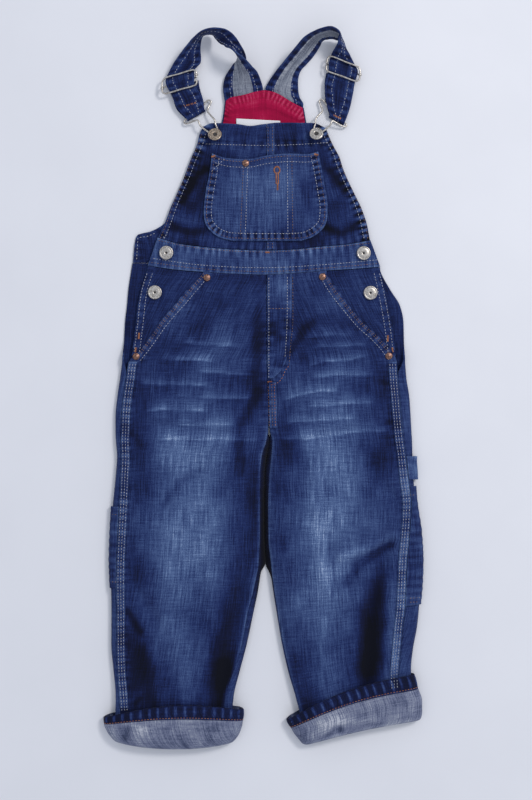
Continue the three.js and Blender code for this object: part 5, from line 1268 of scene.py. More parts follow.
def around(loops, steps):
    """Smooth closed rows through loops of points; the first place comes again at the end."""
    closed = np.concatenate([loops[:, -2:], loops, loops[:, :3]], axis=1)
    fine = through(closed, 3 * steps)
    gaps = np.linalg.norm(np.diff(closed, axis=1), axis=2).mean(axis=0)
    at = np.concatenate([[0], np.cumsum(gaps)])
    places = np.linspace(at[2], at[2 + loops.shape[1]], steps)
    have = np.linspace(0, at[-1], 3 * steps)
    rows = np.array([np.stack([np.interp(places, have, row[:, k]) for k in range(3)], axis=1)
                     for row in fine])
    rows[:, -1] = rows[:, 0]
    return rows


def finer_rows(points, steps):
    """More rows, smoothly between the ones that there are."""
    return through(points.transpose(1, 0, 2), steps).transpose(1, 0, 2)


def ring_normals(points):
    """Outward normals of a closed band of rows."""
    across = np.roll(points[:, :-1], -1, axis=1) - np.roll(points[:, :-1], 1, axis=1)
    across = np.concatenate([across, across[:, :1]], axis=1)
    normal = np.cross(across, np.gradient(points, axis=0))
    normal /= np.linalg.norm(normal, axis=2, keepdims=True) + 1e-9
    highest = points[..., 2] > np.percentile(points[..., 2], 70)
    return normal if normal[..., 2][highest].sum() > 0 else -normal


# %% [markdown]
# ## The turned-up cloth and its hem
# The outside of each cuff is the reverse of the denim, pressed into a few folds. The leg's hem lies
# along its upper edge. It was chain-stitched and washed, so it gathers into slanting ridges that
# fade on top, like a rope, about every 9.6 mm.

# %% Turned-up cloth and its hem
CUFF_CLOTH, HEM_CLOTH = 1.45, 2.1
ROPE_PITCH = 9.6
CUFF_FOLDS = {
    "left": [([(-150, -375), (-142, -352)], 4, 0.9), ([(-60, -378), (-48, -352)], 5, 0.6)],
    "right": [([(82, -377), (82, -364)], 3, 1.6), ([(62, -378), (80, -361)], 4, 1.0),
              ([(61, -357), (120, -353)], 4, -0.8), ([(41, -383), (58, -366), (80, -359)], 5, -0.8)],
}
for side, leg in CUFFS.items():
    loops = np.array([cuff_loop(leg, v, inset) for v, inset in CUFF_PATH])
    points = finer_rows(around(loops, 190), 44)
    outward_normal = ring_normals(points)
    u, v = lengths(points)
    down = v[:, None] / v[-1]
    x, y, z = points[..., 0], points[..., 1], points[..., 2]
    outside = smooth((0.72 - down) / 0.08)
    relief = 0.4 * drift(x, y, 22, 91) + 0.25 * drift(x, y, 9, 92) - pressed(CUFF_FOLDS[side], x, y)
    relief = relief * outside * smooth((z - 2) / 4) * smooth(down / 0.06)
    points = points + outward_normal * relief[..., None]
    points[..., 2] = np.maximum(points[..., 2], 0)
    points[:, -1] = points[:, 0]
    side_seam = bell((x - (leg["outer_x"][1] + (9 if side == "left" else -9))) / 5)
    wear = 0.50 + 0.12 * drift(x, y, 20, 93) + 0.10 * drift(x, y, 7, 94) + 0.22 * relief + 0.1 * side_seam
    fold_line = bell((down - 0.72) / 0.05)
    wear = wear + 0.10 * fold_line - 0.2 * smooth((down - 0.8) / 0.1)
    cloth(f"cuff_{side}", points, wear, CUFF_CLOTH,
          (REVERSE, INDIGO), tube=True)

    loops = np.array([cuff_loop(leg, v, inset) for v, inset in HEM_PATH])
    points = finer_rows(around(loops, 230), 22)
    outward_normal = ring_normals(points)
    u, v = lengths(points)
    down = v[:, None] / v[-1]
    pitch = u[0, -1] / round(u[0, -1] / ROPE_PITCH)
    u = u / u[:, -1:] * u[0, -1]
    turn = u / pitch + 0.25 * drift(u, 0 * u, 25, 95) * smooth(u / 20)
    ridge = 0.5 + 0.5 * np.cos(2 * math.pi * turn)
    ridge = ridge ** 5 * np.sin(math.pi * np.clip(down * 1.15, 0, 1)) ** 0.5
    x, y, z = points[..., 0], points[..., 1], points[..., 2]
    points = points + outward_normal * (0.6 * ridge * smooth((z - 1.5) / 3))[..., None]
    points[:, -1] = points[:, 0]
    wear = 0.13 + 0.36 * ridge + 0.05 * drift(x, y, 15, 96) + 0.2 * bell((down - 0.98) / 0.06)
    cloth(f"cuff_hem_{side}", points, wear, HEM_CLOTH,
          tube=True)

# %% [markdown]
# ## Tool pockets and hammer loop
# The tool pockets are sewn to the backs and reach round the side. Only their edges show from above.
# The hammer loop is a narrow tape, caught at both ends, that stands a little off the side.

# %% Tool pockets and hammer loop
TOOL_CLOTH, LOOP_CLOTH = 1.2, 1.3
TOOL_POCKETS = [("right", RIGHT_LEG, -104, -231.5, 1), ("left", LEFT_LEG, -126, -214, 0.4)]


def sideways(points):
    """Directions square to the cloth, in the plane across the leg."""
    along = np.gradient(points, axis=1)
    return unit(np.stack([-along[..., 2], 0 * along[..., 2], along[..., 0]], axis=-1))


for side, leg, top_y, low_y, bulge in TOOL_POCKETS:
    form = LegForm(leg, np.linspace(top_y, low_y, 60))
    fine = section_points(form, back_line(form)[:6], 60)[:, :46]
    middle = np.stack(form.plan(form.edge + 12) + (7 + 0 * form.edge,), axis=-1)
    away = fine - middle
    away[..., 1] = 0
    normal = sideways(fine)
    normal *= np.sign((normal * away).sum(axis=2, keepdims=True))
    down = np.linspace(0, 1, 60).reshape(-1, 1)
    place = np.linspace(0, 1, 46)[None, :]
    puff = bulge * np.sin(math.pi * mix(0.25, 0.85, down)) * smooth(place / 0.25)
    ripple = puckers([([(0, top_y), (0, low_y)], 400, 9, 0.25)], 0 * fine[..., 1], fine[..., 1])
    band = smooth((8 - down * (top_y - low_y)) / 1)
    lift = CLEAR + TOOL_CLOTH + puff + 0.3 * band + ripple * smooth(place / 0.2)
    points = fine + normal * lift[..., None]
    points[..., 2] = np.maximum(points[..., 2], 0)
    uneven = 0.06 * drift(points[..., 0], points[..., 1], 14, 101)
    wear = 0.35 + 0.3 * ripple + uneven + 0.15 * bell(place / 0.05)
    cloth(f"tool_pocket_{side}", points, wear, TOOL_CLOTH, outward=side)

form = LegForm(RIGHT_LEG, np.linspace(-72, -97, 40))
seam = form.edge - 0.6
line = [(seam, form.top(seam) + CLEAR + 0.1), (seam * 0.45, form.top(seam * 0.45) + CLEAR + 0.5),
        (-1.6 + 0 * seam, 7.6 + 0 * seam), (-3.4 + 0 * seam, 5.6 + 0 * seam),
        (-2.9 + 0 * seam, 3.4 + 0 * seam), (-0.7 + 0 * seam, 2.2 + 0 * seam)]
points = section_points(form, line, 30)
normal = sideways(points)
normal *= np.where(normal[..., :1] < 0, -1, 1)
waves = 0.35 * drift(points[..., 1], 3 * points[..., 2], 6, 103)
points = points + normal * (LOOP_CLOTH + waves)[..., None]
wear = 0.52 + 0.5 * waves + 0.1 * drift(points[..., 0], points[..., 1], 5, 104)
cloth("hammer_loop", points, wear, LOOP_CLOTH, outward="right")

# %% [markdown]
# ## Shoulder straps
# Each strap is a folded band of denim with both edges turned in, so the inside shows two blue hems
# and a grey middle. It starts under the facing, stands up in a loop, turns over, runs through its
# slider and hook, and comes back underneath. The rows give its two edges all along that way.

# %% Straps
STRAP_COLUMNS = "ax ay az bx by bz bulge"
STRAPS = {
    "left": table(STRAP_COLUMNS, [
    (-41, 302, 2.5, -2.5, 309.5, 2.5, 0), (-43, 314.5, 2.5, -1.2, 324, 2.5, 0),
    (-44.4, 326.3, 2.4, -2.2, 330.3, 3.5, 0), (-41.7, 338.1, 2.6, -7, 340.8, 11, -2),
    (-37, 345.6, 3, -12.8, 345.3, 18, -3), (-31.4, 353, 3.6, -19.7, 350.5, 26, -3),
    (-24.8, 357.1, 4.6, -27, 355, 30, -2), (-19.4, 355.3, 9, -35, 361.1, 30, 0),
    (-20.5, 360.1, 16.6, -39.8, 363.9, 25.7, 2.8), (-24.5, 366.1, 23.6, -44.9, 368.3, 18.7, 4.6),
    (-29.7, 373.1, 28.7, -48.9, 373.5, 12.3, 4.6), (-37, 378.5, 32.5, -51.8, 378.2, 7.3, 3),
    (-45.9, 381, 34.2, -55.5, 383.3, 4.5, 2), (-57, 381.5, 33.1, -61.1, 383.9, 3.4, 1),
    (-66.7, 379, 30, -66.1, 382.3, 3.4, 0), (-76, 373.5, 23, -68.3, 376.7, 4, 0),
    (-85.7, 364.6, 16, -68.9, 367.2, 5, 0), (-93.3, 356.2, 11.5, -68, 358.3, 5.8, 0),
    (-98.8, 349.3, 8, -68.6, 352.2, 6.4, 0), (-105.8, 335.6, 5, -75, 344.8, 5, 0),
    (-105.2, 327.6, 7.4, -75, 336.6, 7.4, 0), (-101, 320.2, 5, -74.8, 328, 5, 0),
    (-97.5, 312, 5.3, -69.5, 320.5, 5.3, 0), (-93.5, 303.5, 5.3, -65.8, 311.5, 5.3, 0),
    (-83.7, 292.4, 5.15, -64.5, 303.2, 5.15, 0), (-83, 291.2, 4.5, -63.8, 302, 4.5, 0),
    (-82.7, 290.6, 2.95, -63.5, 301.4, 2.95, 0), (-83, 291.2, 1.4, -63.8, 302, 1.4, 0),
    (-83.7, 292.4, 0.75, -64.5, 303.2, 0.75, 0), (-94.5, 303.5, 0.75, -65.6, 312.5, 0.75, 0),
    (-99, 317, 0.75, -69.5, 326, 0.75, 0), (-102, 326, 0.75, -71, 335, 0.75, 0)]),
    "right": table(STRAP_COLUMNS, [
    (3.5, 308.5, 2.5, 40.5, 297.5, 2.5, 0), (1.8, 321, 2.5, 42.5, 309, 2.5, 0),
    (1.6, 326.2, 2.6, 38.4, 316.5, 2.4, 0), (6.5, 334.9, 4.5, 36.8, 328.4, 2.6, 0),
    (13.5, 343.5, 9, 37.3, 338.1, 2.8, 0), (20.9, 351.2, 14, 40.3, 345.8, 3, 0),
    (27.8, 358.4, 19, 46, 352, 3.4, 0), (34.4, 365, 24, 53, 360, 3.8, 0),
    (42.4, 373.1, 28, 58.9, 369, 4.2, 0), (51.8, 378.2, 31.5, 63.2, 376.5, 4.6, 0),
    (62.3, 381.5, 34, 68.6, 378.6, 4.8, 0), (71.2, 382.6, 34.5, 75.1, 378.8, 5, 0),
    (77.8, 380.4, 32, 80.4, 377.3, 5.4, 0), (80.6, 377.4, 29, 84, 378.2, 6, 0),
    (79.4, 374.4, 26.5, 85.8, 375.5, 6.3, 0), (78.7, 369, 23, 88.2, 368, 6.6, 1),
    (75.7, 365.7, 14.5, 91.9, 361.5, 6.6, 2), (73.6, 363.2, 8.2, 95.6, 354.8, 6.2, 1),
    (71.6, 358, 4.9, 100.4, 346.4, 4.9, 0), (69.9, 351.3, 7.4, 101, 340.4, 7.4, 0),
    (69.3, 342.6, 5.1, 98.3, 332.2, 5.1, 0), (66, 331.5, 5.3, 96.3, 321.5, 5.3, 0),
    (66.2, 318, 5.3, 93.8, 309, 5.3, 0), (68.5, 304.5, 5.3, 90, 297, 5.3, 0),
    (71, 296.7, 5.15, 87, 288.2, 5.15, 0), (70.3, 295.4, 4.5, 86.3, 286.9, 4.5, 0),
    (70, 294.8, 2.95, 86, 286.3, 2.95, 0), (70.3, 295.4, 1.4, 86.3, 286.9, 1.4, 0),
    (71, 296.7, 0.75, 87, 288.2, 0.75, 0), (66.8, 312, 0.75, 92.6, 303.5, 0.75, 0),
    (65.8, 333, 0.75, 96.8, 322.5, 0.75, 0), (67.5, 343, 0.75, 98, 333, 0.75, 0)]),
}
STRAP_STEPS = 300
STRAP_COLUMNS_ACROSS = 29
STRAP_HEM, FOLDED_WIDE = 8.6, 34
strap_faces = {}


def strap_hems(column, across):
    """Faces of the middle get the second material, whose other side is grey."""
    share = (column + 0.5) / (across - 1)
    return np.abs(share - 0.5) < 0.5 - STRAP_HEM / FOLDED_WIDE


for side, rows in STRAPS.items():
    a = np.stack([rows["ax"], rows["ay"], rows["az"]], axis=-1)
    b = np.stack([rows["bx"], rows["by"], rows["bz"]], axis=-1)
    middle = (a + b) / 2
    ahead = np.concatenate([middle[1:], middle[-1:]]) - np.concatenate([middle[:1], middle[:-1]])
    normal = unit(np.cross(ahead, b - a))
    t = np.linspace(0, 1, STRAP_COLUMNS_ACROSS)[None, :, None]
    rough = mix(a[:, None], b[:, None], t) + (normal * rows["bulge"][:, None])[:, None] * 4 * t * (1 - t)
    points = finer_rows(rough, STRAP_STEPS)
    face = unit(np.cross(np.gradient(points, axis=0), np.gradient(points, axis=1)))
    t = t[..., 0]
    u, v = lengths(points)
    from_edge = np.minimum(t, 1 - t) * u[:, -1:]
    lines = bell((from_edge - 8) / 2.2) + bell(from_edge / 1.6)
    ripple = 0.2 * np.sin(2 * math.pi * (v[:, None] / 8.5 + 0.5 * drift(v[:, None], 9 * t, 20, 111)))
    relief = ripple * bell((from_edge - 5) / 4) + 0.12 * drift(u, v[:, None], 9, 112)
    free = smooth((v[:, None] - 25) / 10) * smooth((205 - v[:, None]) / 30)
    points = points + face * (STRAP_CLOTH / 2 + relief * free)[..., None]
    strap_faces[side] = (points, face, u, v)
    wear = 0.24 + 0.10 * lines + 0.6 * relief + 0.05 * drift(u, v[:, None], 16, 113)
    cloth(f"strap_{side}", points[:, ::-1], wear[:, ::-1], STRAP_CLOTH,
          (INDIGO, INDIGO, STRAP_REVERSE), outward="side", material_of=strap_hems)

# %% [markdown]
# ## Buttons and rivets
# All are turned parts: a profile is spun round its axis. The flat buttons have a rolled rim, a ring
# of small dots and a hole in the middle. The bib buttons are tall caps on a stem, pulled askew by
# the hooks. Copper rivets hold the pocket corners.

# %% Turned buttons and rivets
SIDE_BUTTON = [
    (0, 1.5), (0.9, 1.5), (1.15, 1.9), (1.5, 2.4), (2.2, 2.5), (5.4, 2.45), (5.7, 2.3), (6.0, 2.45),
    (6.6, 2.68), (7.2, 2.5), (7.6, 1.95), (7.5, 1.5), (7.1, 1.2), (3.4, 0.9), (3.4, 0), (0, 0)]
BIB_BUTTON = [
    (0, 5.5), (1.9, 5.5), (2.15, 5.8), (2.35, 6.35), (2.9, 6.55), (4.9, 6.6), (5.3, 6.45),
    (5.7, 6.65), (6.3, 6.8), (6.95, 6.6), (7.35, 6.1), (7.5, 5.5), (7.3, 4.95), (6.9, 4.75),
    (2.4, 4.4), (2.4, 1.2), (4.2, 0.7), (4.2, 0), (0, 0)]
RIVET = [
    (0, 1.7), (0.8, 1.65), (1.25, 1.5), (1.9, 1.0), (2.8, 0.9), (3.5, 0.72), (3.8, 0.35), (3.8, 0),
    (0, 0)]


def finish_solid(name, bm, materials, nodes):
    """Turn a mesh in metres of the part into a finished piece of its own."""
    mesh = bpy.data.meshes.new(name)
    bm.to_mesh(mesh)
    bm.free()
    for material in materials:
        mesh.materials.append(material)
    mesh.shade_smooth()
    piece = bpy.data.objects.new(name, mesh)
    bpy.context.collection.objects.link(piece)
    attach(piece, "root")
    if nodes:
        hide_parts(*nodes)
    print(name, len(mesh.polygons), "faces")


def turned(name, profile, place, materials, hole=0, dots=0, dot_ring=(0, 0)):
    """Spin a profile; faces within the hole's radius get the second material."""
    bm = bmesh.new()
    corners = [bm.verts.new((r, 0, z)) for r, z in profile]
    edges = [bm.edges.new(pair) for pair in zip(corners, corners[1:])]
    bmesh.ops.spin(bm, geom=corners + edges, axis=(0, 0, 1), angle=2 * math.pi, steps=40, use_merge=True)
    bmesh.ops.remove_doubles(bm, verts=bm.verts, dist=0.001)
    bmesh.ops.recalc_face_normals(bm, faces=bm.faces)
    for face in bm.faces:
        middle = face.calc_center_median()
        if hole and math.hypot(middle.x, middle.y) < hole and middle.z > profile[0][1] - 0.2:
            face.material_index = 1
    for i in range(dots):
        angle = 2 * math.pi * i / dots
        at = (dot_ring[0] * math.cos(angle), dot_ring[0] * math.sin(angle), dot_ring[1])
        bmesh.ops.create_icosphere(bm, subdivisions=1, radius=0.42, matrix=Matrix.Translation(at))
    bmesh.ops.transform(bm, matrix=Matrix.Scale(MM, 4) @ place, verts=bm.verts)
    finish_solid(f"{name}_turned", bm, materials, [name])


def garment_place(x, y, z):
    """Move to a place of the garment, in millimetres of the part."""
    return Matrix.Translation((x - MIDDLE_X, y - MIDDLE_Y, z))


def hip_top(leg, x, y):
    """Height of a leg's front at one place."""
    form = LegForm(leg, y)
    return float(form.top(np.abs(x - form.outer_x))[0, 0])


NICKEL_AND_HOLE = (NICKEL, DARK_HOLE)
for name, x, y, leg in (("left_upper", -105.3, 147.4, None), ("right_upper", 107.5, 147, None),
                        ("left_lower", -117.7, 104.8, LEFT_LEG), ("right_lower", 115, 104.3, RIGHT_LEG)):
    layer = hip_top(leg, x, y) - DENIM - CLEAR if leg else float(band_height(x))
    turned(f"side_button_{name}", SIDE_BUTTON, garment_place(x, y, layer + 0.4), NICKEL_AND_HOLE,
           hole=1.3, dots=34, dot_ring=(6.0, 2.45))
for name, x, y, leg in (("left_top", -61.5, 120.5, LEFT_LEG), ("left_bottom", -137.8, 35.5, LEFT_LEG),
                        ("right_top", 63, 121.5, RIGHT_LEG), ("right_bottom", 134.5, 36, RIGHT_LEG)):
    turned(f"rivet_{name}", RIVET, garment_place(x, y, hip_top(leg, x, y) + 0.65), (COPPER,))
pocket_rivet_z = float(pocket_height(np.float64(-19.7), np.float64(243.6), 0.3, 0.07)[0])
turned("rivet_bib_pocket", RIVET, garment_place(-19.7, 243.6, pocket_rivet_z + 0.15), (COPPER,))

TILT = 0.36
BIB_BUTTONS = {"left": (-52.8, 271.8, 1.5), "right": (56.3, 272.6, 1.62)}
CAP_LOOKS = {"left": (BRONZED, DARK_HOLE), "right": NICKEL_AND_HOLE}
seats = {}
for side, (x, y, towards) in BIB_BUTTONS.items():
    lift = float(bib_height(np.float64(x), np.float64(y))[0]) + CLEAR + 4.2 * math.sin(TILT)
    away = Vector((-math.sin(towards), math.cos(towards), 0))
    seats[side] = garment_place(x, y, lift) @ Matrix.Rotation(TILT, 4, away)
    turned(f"bib_button_{side}", BIB_BUTTON, seats[side], CAP_LOOKS[side],
           hole=2.2, dots=34, dot_ring=(5.7, 6.6))

# %% [markdown]
# ## Hooks and sliders
# Both are bent from one length of round wire. A curve object with a round bevel makes the wire, and
# its mesh is kept. The hook's ring goes round the bib button's stem, under the cap.

# %% Wire hooks and sliders
WIRE = 0.95
SLIDER_Z = {"frame": 7.9, "bar": 4.6, "bar_end": 7.2, "knob": 7.6}
SLIDERS = {
    "left": {
        "frame": [
        (-72.7, 333.6), (-72.6, 331), (-74.2, 328), (-90, 323.4), (-105.8, 318.8), (-109.2, 320.2),
        (-109.9, 325), (-109.6, 331), (-106.8, 335.4), (-91, 340.3), (-77, 344.4), (-73.6, 343.2),
        (-72.9, 338.6), (-72.8, 336)],
        "bar": [(-109.9, 326.2), (-72.7, 337.4)],
        "knobs": [(-109.8, 324.4), (-72.9, 339.2)],
    },
    "right": {
        "frame": [
        (67.3, 349.2), (67, 346.6), (68.4, 343.3), (84, 337.6), (98.8, 332.3), (102.2, 333.6),
        (103.4, 339), (103.4, 343.4), (101.8, 347.2), (88, 353), (73.2, 359), (69.6, 358.2), (68, 354.4),
        (67.5, 351.6)],
        "bar": [(67.6, 351.4), (103.4, 340.2)],
        "knobs": [(103.5, 339.2)],
    },
}
HOOKS = {
    "left": {
        "before": [
        (-74.2, 297.9, 2.95), (-83, 292.95, 2.95), (-85.5, 291.5, 2.95), (-86.3, 289.4, 3.1),
        (-85, 287.6, 3.8), (-81, 287.7, 5.2), (-76.1, 289.4, 7), (-71.3, 289.8, 8.4), (-68.9, 284.6, 8.8),
        (-64.8, 280.6, 8.8), (-60.6, 277.6, 9.2)],
        "after": [
        (-49.2, 277.6, 9.3), (-50.4, 281.6, 8.5), (-52.2, 285.8, 8.2), (-53.4, 290.6, 8.2),
        (-57.2, 295.3, 6.8), (-60.9, 300.8, 4.8), (-59.6, 306.2, 3.6), (-57.2, 311.2, 3.1),
        (-60.2, 313, 2.95), (-64.8, 308.8, 2.95), (-68.6, 303.6, 2.95), (-70.6, 299.9, 2.95),
        (-73.2, 298.45, 2.95)],
        "ring": (2.75, 6.3),
    },
    "right": {
        "before": [
        (79, 292.45, 2.95), (86.2, 288.65, 2.95), (88.6, 287.3, 2.95), (89.2, 285.2, 3.1),
        (87.6, 284.1, 3.8), (83.2, 285, 5.2), (78.6, 287.2, 7), (73.6, 289.2, 8.4), (71.8, 285.4, 8.8),
        (68.2, 281.6, 8.8), (64.2, 278.4, 9.2)],
        "after": [
        (52.8, 278.4, 9.3), (54, 282.4, 8.5), (55.4, 286.4, 8.2), (55.8, 291.2, 8.2), (59.2, 296.2, 6.8),
        (63, 300.6, 4.8), (61.6, 306.6, 3.6), (59.8, 311.8, 3.1), (62.4, 313.9, 2.95), (66.8, 309.4, 2.95),
        (71, 303, 2.95), (74.6, 295.6, 2.95), (78, 293, 2.95)],
        "ring": (0.39, -3.16),
    },
}


def wire_mesh(route, steps, radius=WIRE):
    """Mesh of round wire along a smooth route, in millimetres of the part."""
    fine = through(np.array([route], float), steps)[0]
    data = bpy.data.curves.new("wire", "CURVE")
    data.dimensions = "3D"
    data.bevel_depth = radius
    data.bevel_resolution = 3
    data.use_fill_caps = True
    line = data.splines.new("POLY")
    line.points.add(steps - 1)
    for point, at in zip(line.points, fine):
        point.co = (*at, 1)
    holder = bpy.data.objects.new("wire", data)
    bpy.context.collection.objects.link(holder)
    shape = bpy.data.meshes.new_from_object(holder.evaluated_get(bpy.context.evaluated_depsgraph_get()))
    bpy.data.objects.remove(holder)
    bpy.data.curves.remove(data)
    return shape


def on_part(x, y, z):
    """From the garment's own measures to millimetres of the part."""
    return (x - MIDDLE_X, y - MIDDLE_Y, z)


def wires(name, routes, knobs=()):
    """One piece from wires along routes, with a round knob at each of some places."""
    bm = bmesh.new()
    for route, steps in routes:
        shape = wire_mesh(route, steps)
        bm.from_mesh(shape)
        bpy.data.meshes.remove(shape)
    for at in knobs:
        bmesh.ops.create_uvsphere(bm, u_segments=20, v_segments=12, radius=1.9, matrix=Matrix.Translation(at))
    bmesh.ops.remove_doubles(bm, verts=bm.verts, dist=0.001)
    bmesh.ops.recalc_face_normals(bm, faces=bm.faces)
    bmesh.ops.scale(bm, vec=(MM, MM, MM), verts=bm.verts)
    finish_solid(f"{name}_wire", bm, (NICKEL,), [name])


for side, slider in SLIDERS.items():
    frame_route = [on_part(x, y, SLIDER_Z["frame"]) for x, y in slider["frame"]]
    (x1, y1), (x2, y2) = slider["bar"]
    bar_z = (SLIDER_Z["bar_end"], SLIDER_Z["bar"], SLIDER_Z["bar"], SLIDER_Z["bar"], SLIDER_Z["bar_end"])
    bar_at = (0, 0.03, 0.5, 0.97, 1)
    bar_route = [on_part(mix(x1, x2, t), mix(y1, y2, t), z) for t, z in zip(bar_at, bar_z)]
    wires(f"slider_{side}", [(frame_route, 120), (bar_route, 40)],
          [on_part(x, y, SLIDER_Z["knob"]) for x, y in slider["knobs"]])
for side, hook in HOOKS.items():
    ring = []
    for angle in np.linspace(*hook["ring"], 9):
        ring.append(tuple(seats[side] @ Vector((4.1 * math.cos(angle), 4.1 * math.sin(angle), 2.85))))
    before, after = ([on_part(*at) for at in hook[half]] for half in ("before", "after"))
    route = before + ring + after
    wires(f"hook_{side}", [(route, 260)])

# %% [markdown]
# ## Stitches
# A stitch is a short, plump piece of thread, about 3 mm from hole to hole. Each is one small solid,
# dropped onto the cloth below it and laid along the surface, so it follows every pucker. Hundreds
# of them are joined into one mesh for each colour of thread.

# %% Drop points onto the cloth
under_threads = [name for name in EVERY_CLOTH if not name.startswith("strap")]
corners, faces = [], []
for name in under_threads:
    seen = EVERY_CLOTH[name].evaluated_get(bpy.context.evaluated_depsgraph_get())
    shape = seen.to_mesh()
    first = len(corners)
    corners += [tuple(v.co) for v in shape.vertices]
    faces += [tuple(first + i for i in p.vertices) for p in shape.polygons]
    seen.to_mesh_clear()
all_cloth = BVHTree.FromPolygons(corners, faces)
print(len(faces), "faces of cloth under the thread")
ABOVE_ALL = 60                # mm, where every drop starts


def dropped(x, y):
    """The highest place of the cloth under x, y (garment millimetres), or None."""
    start = Vector(((x - MIDDLE_X) * MM, (y - MIDDLE_Y) * MM, ABOVE_ALL * MM))
    hit = all_cloth.ray_cast(start, Vector((0, 0, -1)))[0]
    return None if hit is None else Vector((x, y, hit.z / MM))


# %% [markdown]
# ## Sewing by rows
# A machine makes stitches of one length, so a row is only a line and a colour. The line is walked in
# even steps, and each step becomes one stitch. Where the cloth below drops away suddenly the row
# leaves a stitch out, since no thread crosses a step like that. Bar-tacks are close stitches
# across a short line, at the places that take the most strain.

# %% Ways to sew
STITCH = (2.4, 0.66, 0.6)     # length, width and height, mm
PITCH = 3.2
STEEPEST = 2.5                # mm of drop between the ends of a stitch
threads_in = {"white": [], "brown": [], "orange": [], "red": []}


def evenly(line, pitch):
    """Places every pitch along a line, as points."""
    line = np.array(line, float)
    gaps = np.linalg.norm(np.diff(line, axis=0), axis=1)
    run = np.concatenate([[0], np.cumsum(gaps)])
    count = max(int(run[-1] / pitch), 1)
    at = np.linspace(0, run[-1], count + 1)
    return np.stack([np.interp(at, run, line[:, k]) for k in range(line.shape[1])], axis=1)


def sew(colour, line, rounded=True):
    """A row of stitches on the cloth under a line."""
    line = np.array(line, float)
    if rounded and len(line) > 2:
        line = through(line[None], 12 * len(line))[0]
    holes = evenly(line, PITCH)
    for start, end in zip(holes, holes[1:]):
        low, high = dropped(*start), dropped(*end)
        middle = dropped(*(start + end) / 2)
        if low is None or high is None or middle is None or abs(high.z - low.z) > STEEPEST:
            continue
        threads_in[colour].append((middle + Vector((0, 0, 0.12)), high - low, STITCH))


def inset(line, by):
    """A line moved to its left by so much."""
    line = np.array(line, float)
    along = unit(np.gradient(line, axis=0))
    return line + by * np.stack([-along[:, 1], along[:, 0]], axis=1)


def bar_tack(colour, x, y, turn, length, width=2.6):
    """Close stitches across a short line."""
    along = np.array([math.cos(turn), math.sin(turn)])
    across = Vector((-along[1], along[0], 0))
    for place in np.arange(-length / 2, length / 2 + 0.01, 0.75):
        middle = dropped(x + place * along[0], y + place * along[1])
        if middle is not None:
            threads_in[colour].append((middle + Vector((0, 0, 0.2)), across, (width, 0.75, 0.8)))


# %% [markdown]
# ## Thread on bib and waistband
# The pocket has a brown row at its edge and a white one inside it. The hems, the felled seam and the
# waistband are sewn with the same two colours. The rows stop where another piece covers them.

# %% Rows on bib and waistband
pocket_edge = through(np.array([POCKET_EDGE], float), 160)[0]
sew("brown", inset(pocket_edge, 3), rounded=False)
sew("white", inset(pocket_edge, 8.2), rounded=False)
mouth = [(x, y) for x, y in zip(POCKET_MOUTH["x"], POCKET_MOUTH["y"]) if -58 < x < 60]
mouth[0], mouth[-1] = (-53.5, 253.4), (55.8, 255.8)
sew("brown", [(x, y - 2.6) for x, y in mouth])
sew("white", [(x, y - 8.6) for x, y in mouth])
sew("white", from_picture([(210.8, 172.3), (217, 166.5), (225, 159)]))
sew("brown", [(-22.2, 239.9), (-25.5, 166)])
sew("white", [(-17.5, 239.9), (-20.2, 166)])
sew("white", [(25.2, 250), (25.7, 166)])
sew("brown", [(30, 250), (31.1, 166)])
sew("white", [(-63.7, 265.2), (-31.3, 264.1), (2.2, 263.4), (38.9, 264.6), (69.1, 266.5)])
for side, way in (("left", 1), ("right", -1)):
    hem = [(x + way * 6.6, y) for x, y in zip(BIB_SIDES[side], BIB_SIDES["y"]) if y < 283]
    sew("white", hem + [(hem[-1][0] - way * 0.5, 166)])
    sew("brown", [(x - way * 4.4, y) for x, y in hem])
for x in (4.4, 9.2):
    sew("brown", [(x, 284), (x, 256)])
    sew("brown", [(x, 159), (x, 152)])
sew("brown", [(-114.5, 161), (-69.1, 152.4), (3.2, 148.4), (60.5, 152.4), (114.5, 158)])
sew("brown", [(-122.5, 137.2), (-69.1, 130.4), (3.2, 127.4), (71.3, 131.4), (122.6, 136)])
sew("white", [(-123.4, 142), (-69.1, 134.4), (3.2, 131.4), (71.3, 135.2), (122.6, 140)])
print({colour: len(stitches) for colour, stitches in threads_in.items()})

# %% [markdown]
# ## Thread on hips and legs
# The slanted pocket edges carry three rows, the side openings two and each felled seam three. The
# fly's row turns orange round its curved end. Below it, the short seam between the legs is orange
# and brown.

# %% Rows on hips, legs and back
for slant, way in ((SLANT_LEFT, 1), (SLANT_RIGHT, -1)):
    sew("brown", inset(slant, way * 1.8))
    sew("brown", inset(slant, way * 3.6))
    sew("white", inset(slant, way * 7.8))
for vent, way in ((VENT_LEFT, 1), (VENT_RIGHT, -1)):
    line = [(float(read(vent, "y", np.float64(y), "x")), y) for y in np.linspace(126, 40, 12)]
    sew("white", [(x + way * 2.2, y) for x, y in line])
    sew("white", [(x + way * 8, y) for x, y in line])
sew("white", [(25.2, 122), (24.7, 67.8), (22.6, 34.7)])
sew("brown", [(31, 122), (31, 70.5), (28.8, 48.1), (27, 25.8)])
sew("orange", [(27, 25.8), (23, 20.4), (18.9, 11.3), (12.6, 6), (6.4, 4.8)])
sew("brown", [(5, 87.2), (28, 87.2)])
sew("white", [(5.2, 121), (5.2, 12)])
for x, colour in ((4.8, "orange"), (8.2, "brown"), (11.2, "orange")):
    sew(colour, [(x, 4), (x + 0.6, -20), (x + 1.2, -40)])
for leg, low in ((LEFT_LEG, -350), (RIGHT_LEG, -318)):
    form = LegForm(leg, np.linspace(28, low, 60))
    for far in (1.8, 4.9, 7.7):
        x, y = form.plan(form.edge + far)
        sew("white", list(zip(x[:, 0], y[:, 0])), rounded=False)
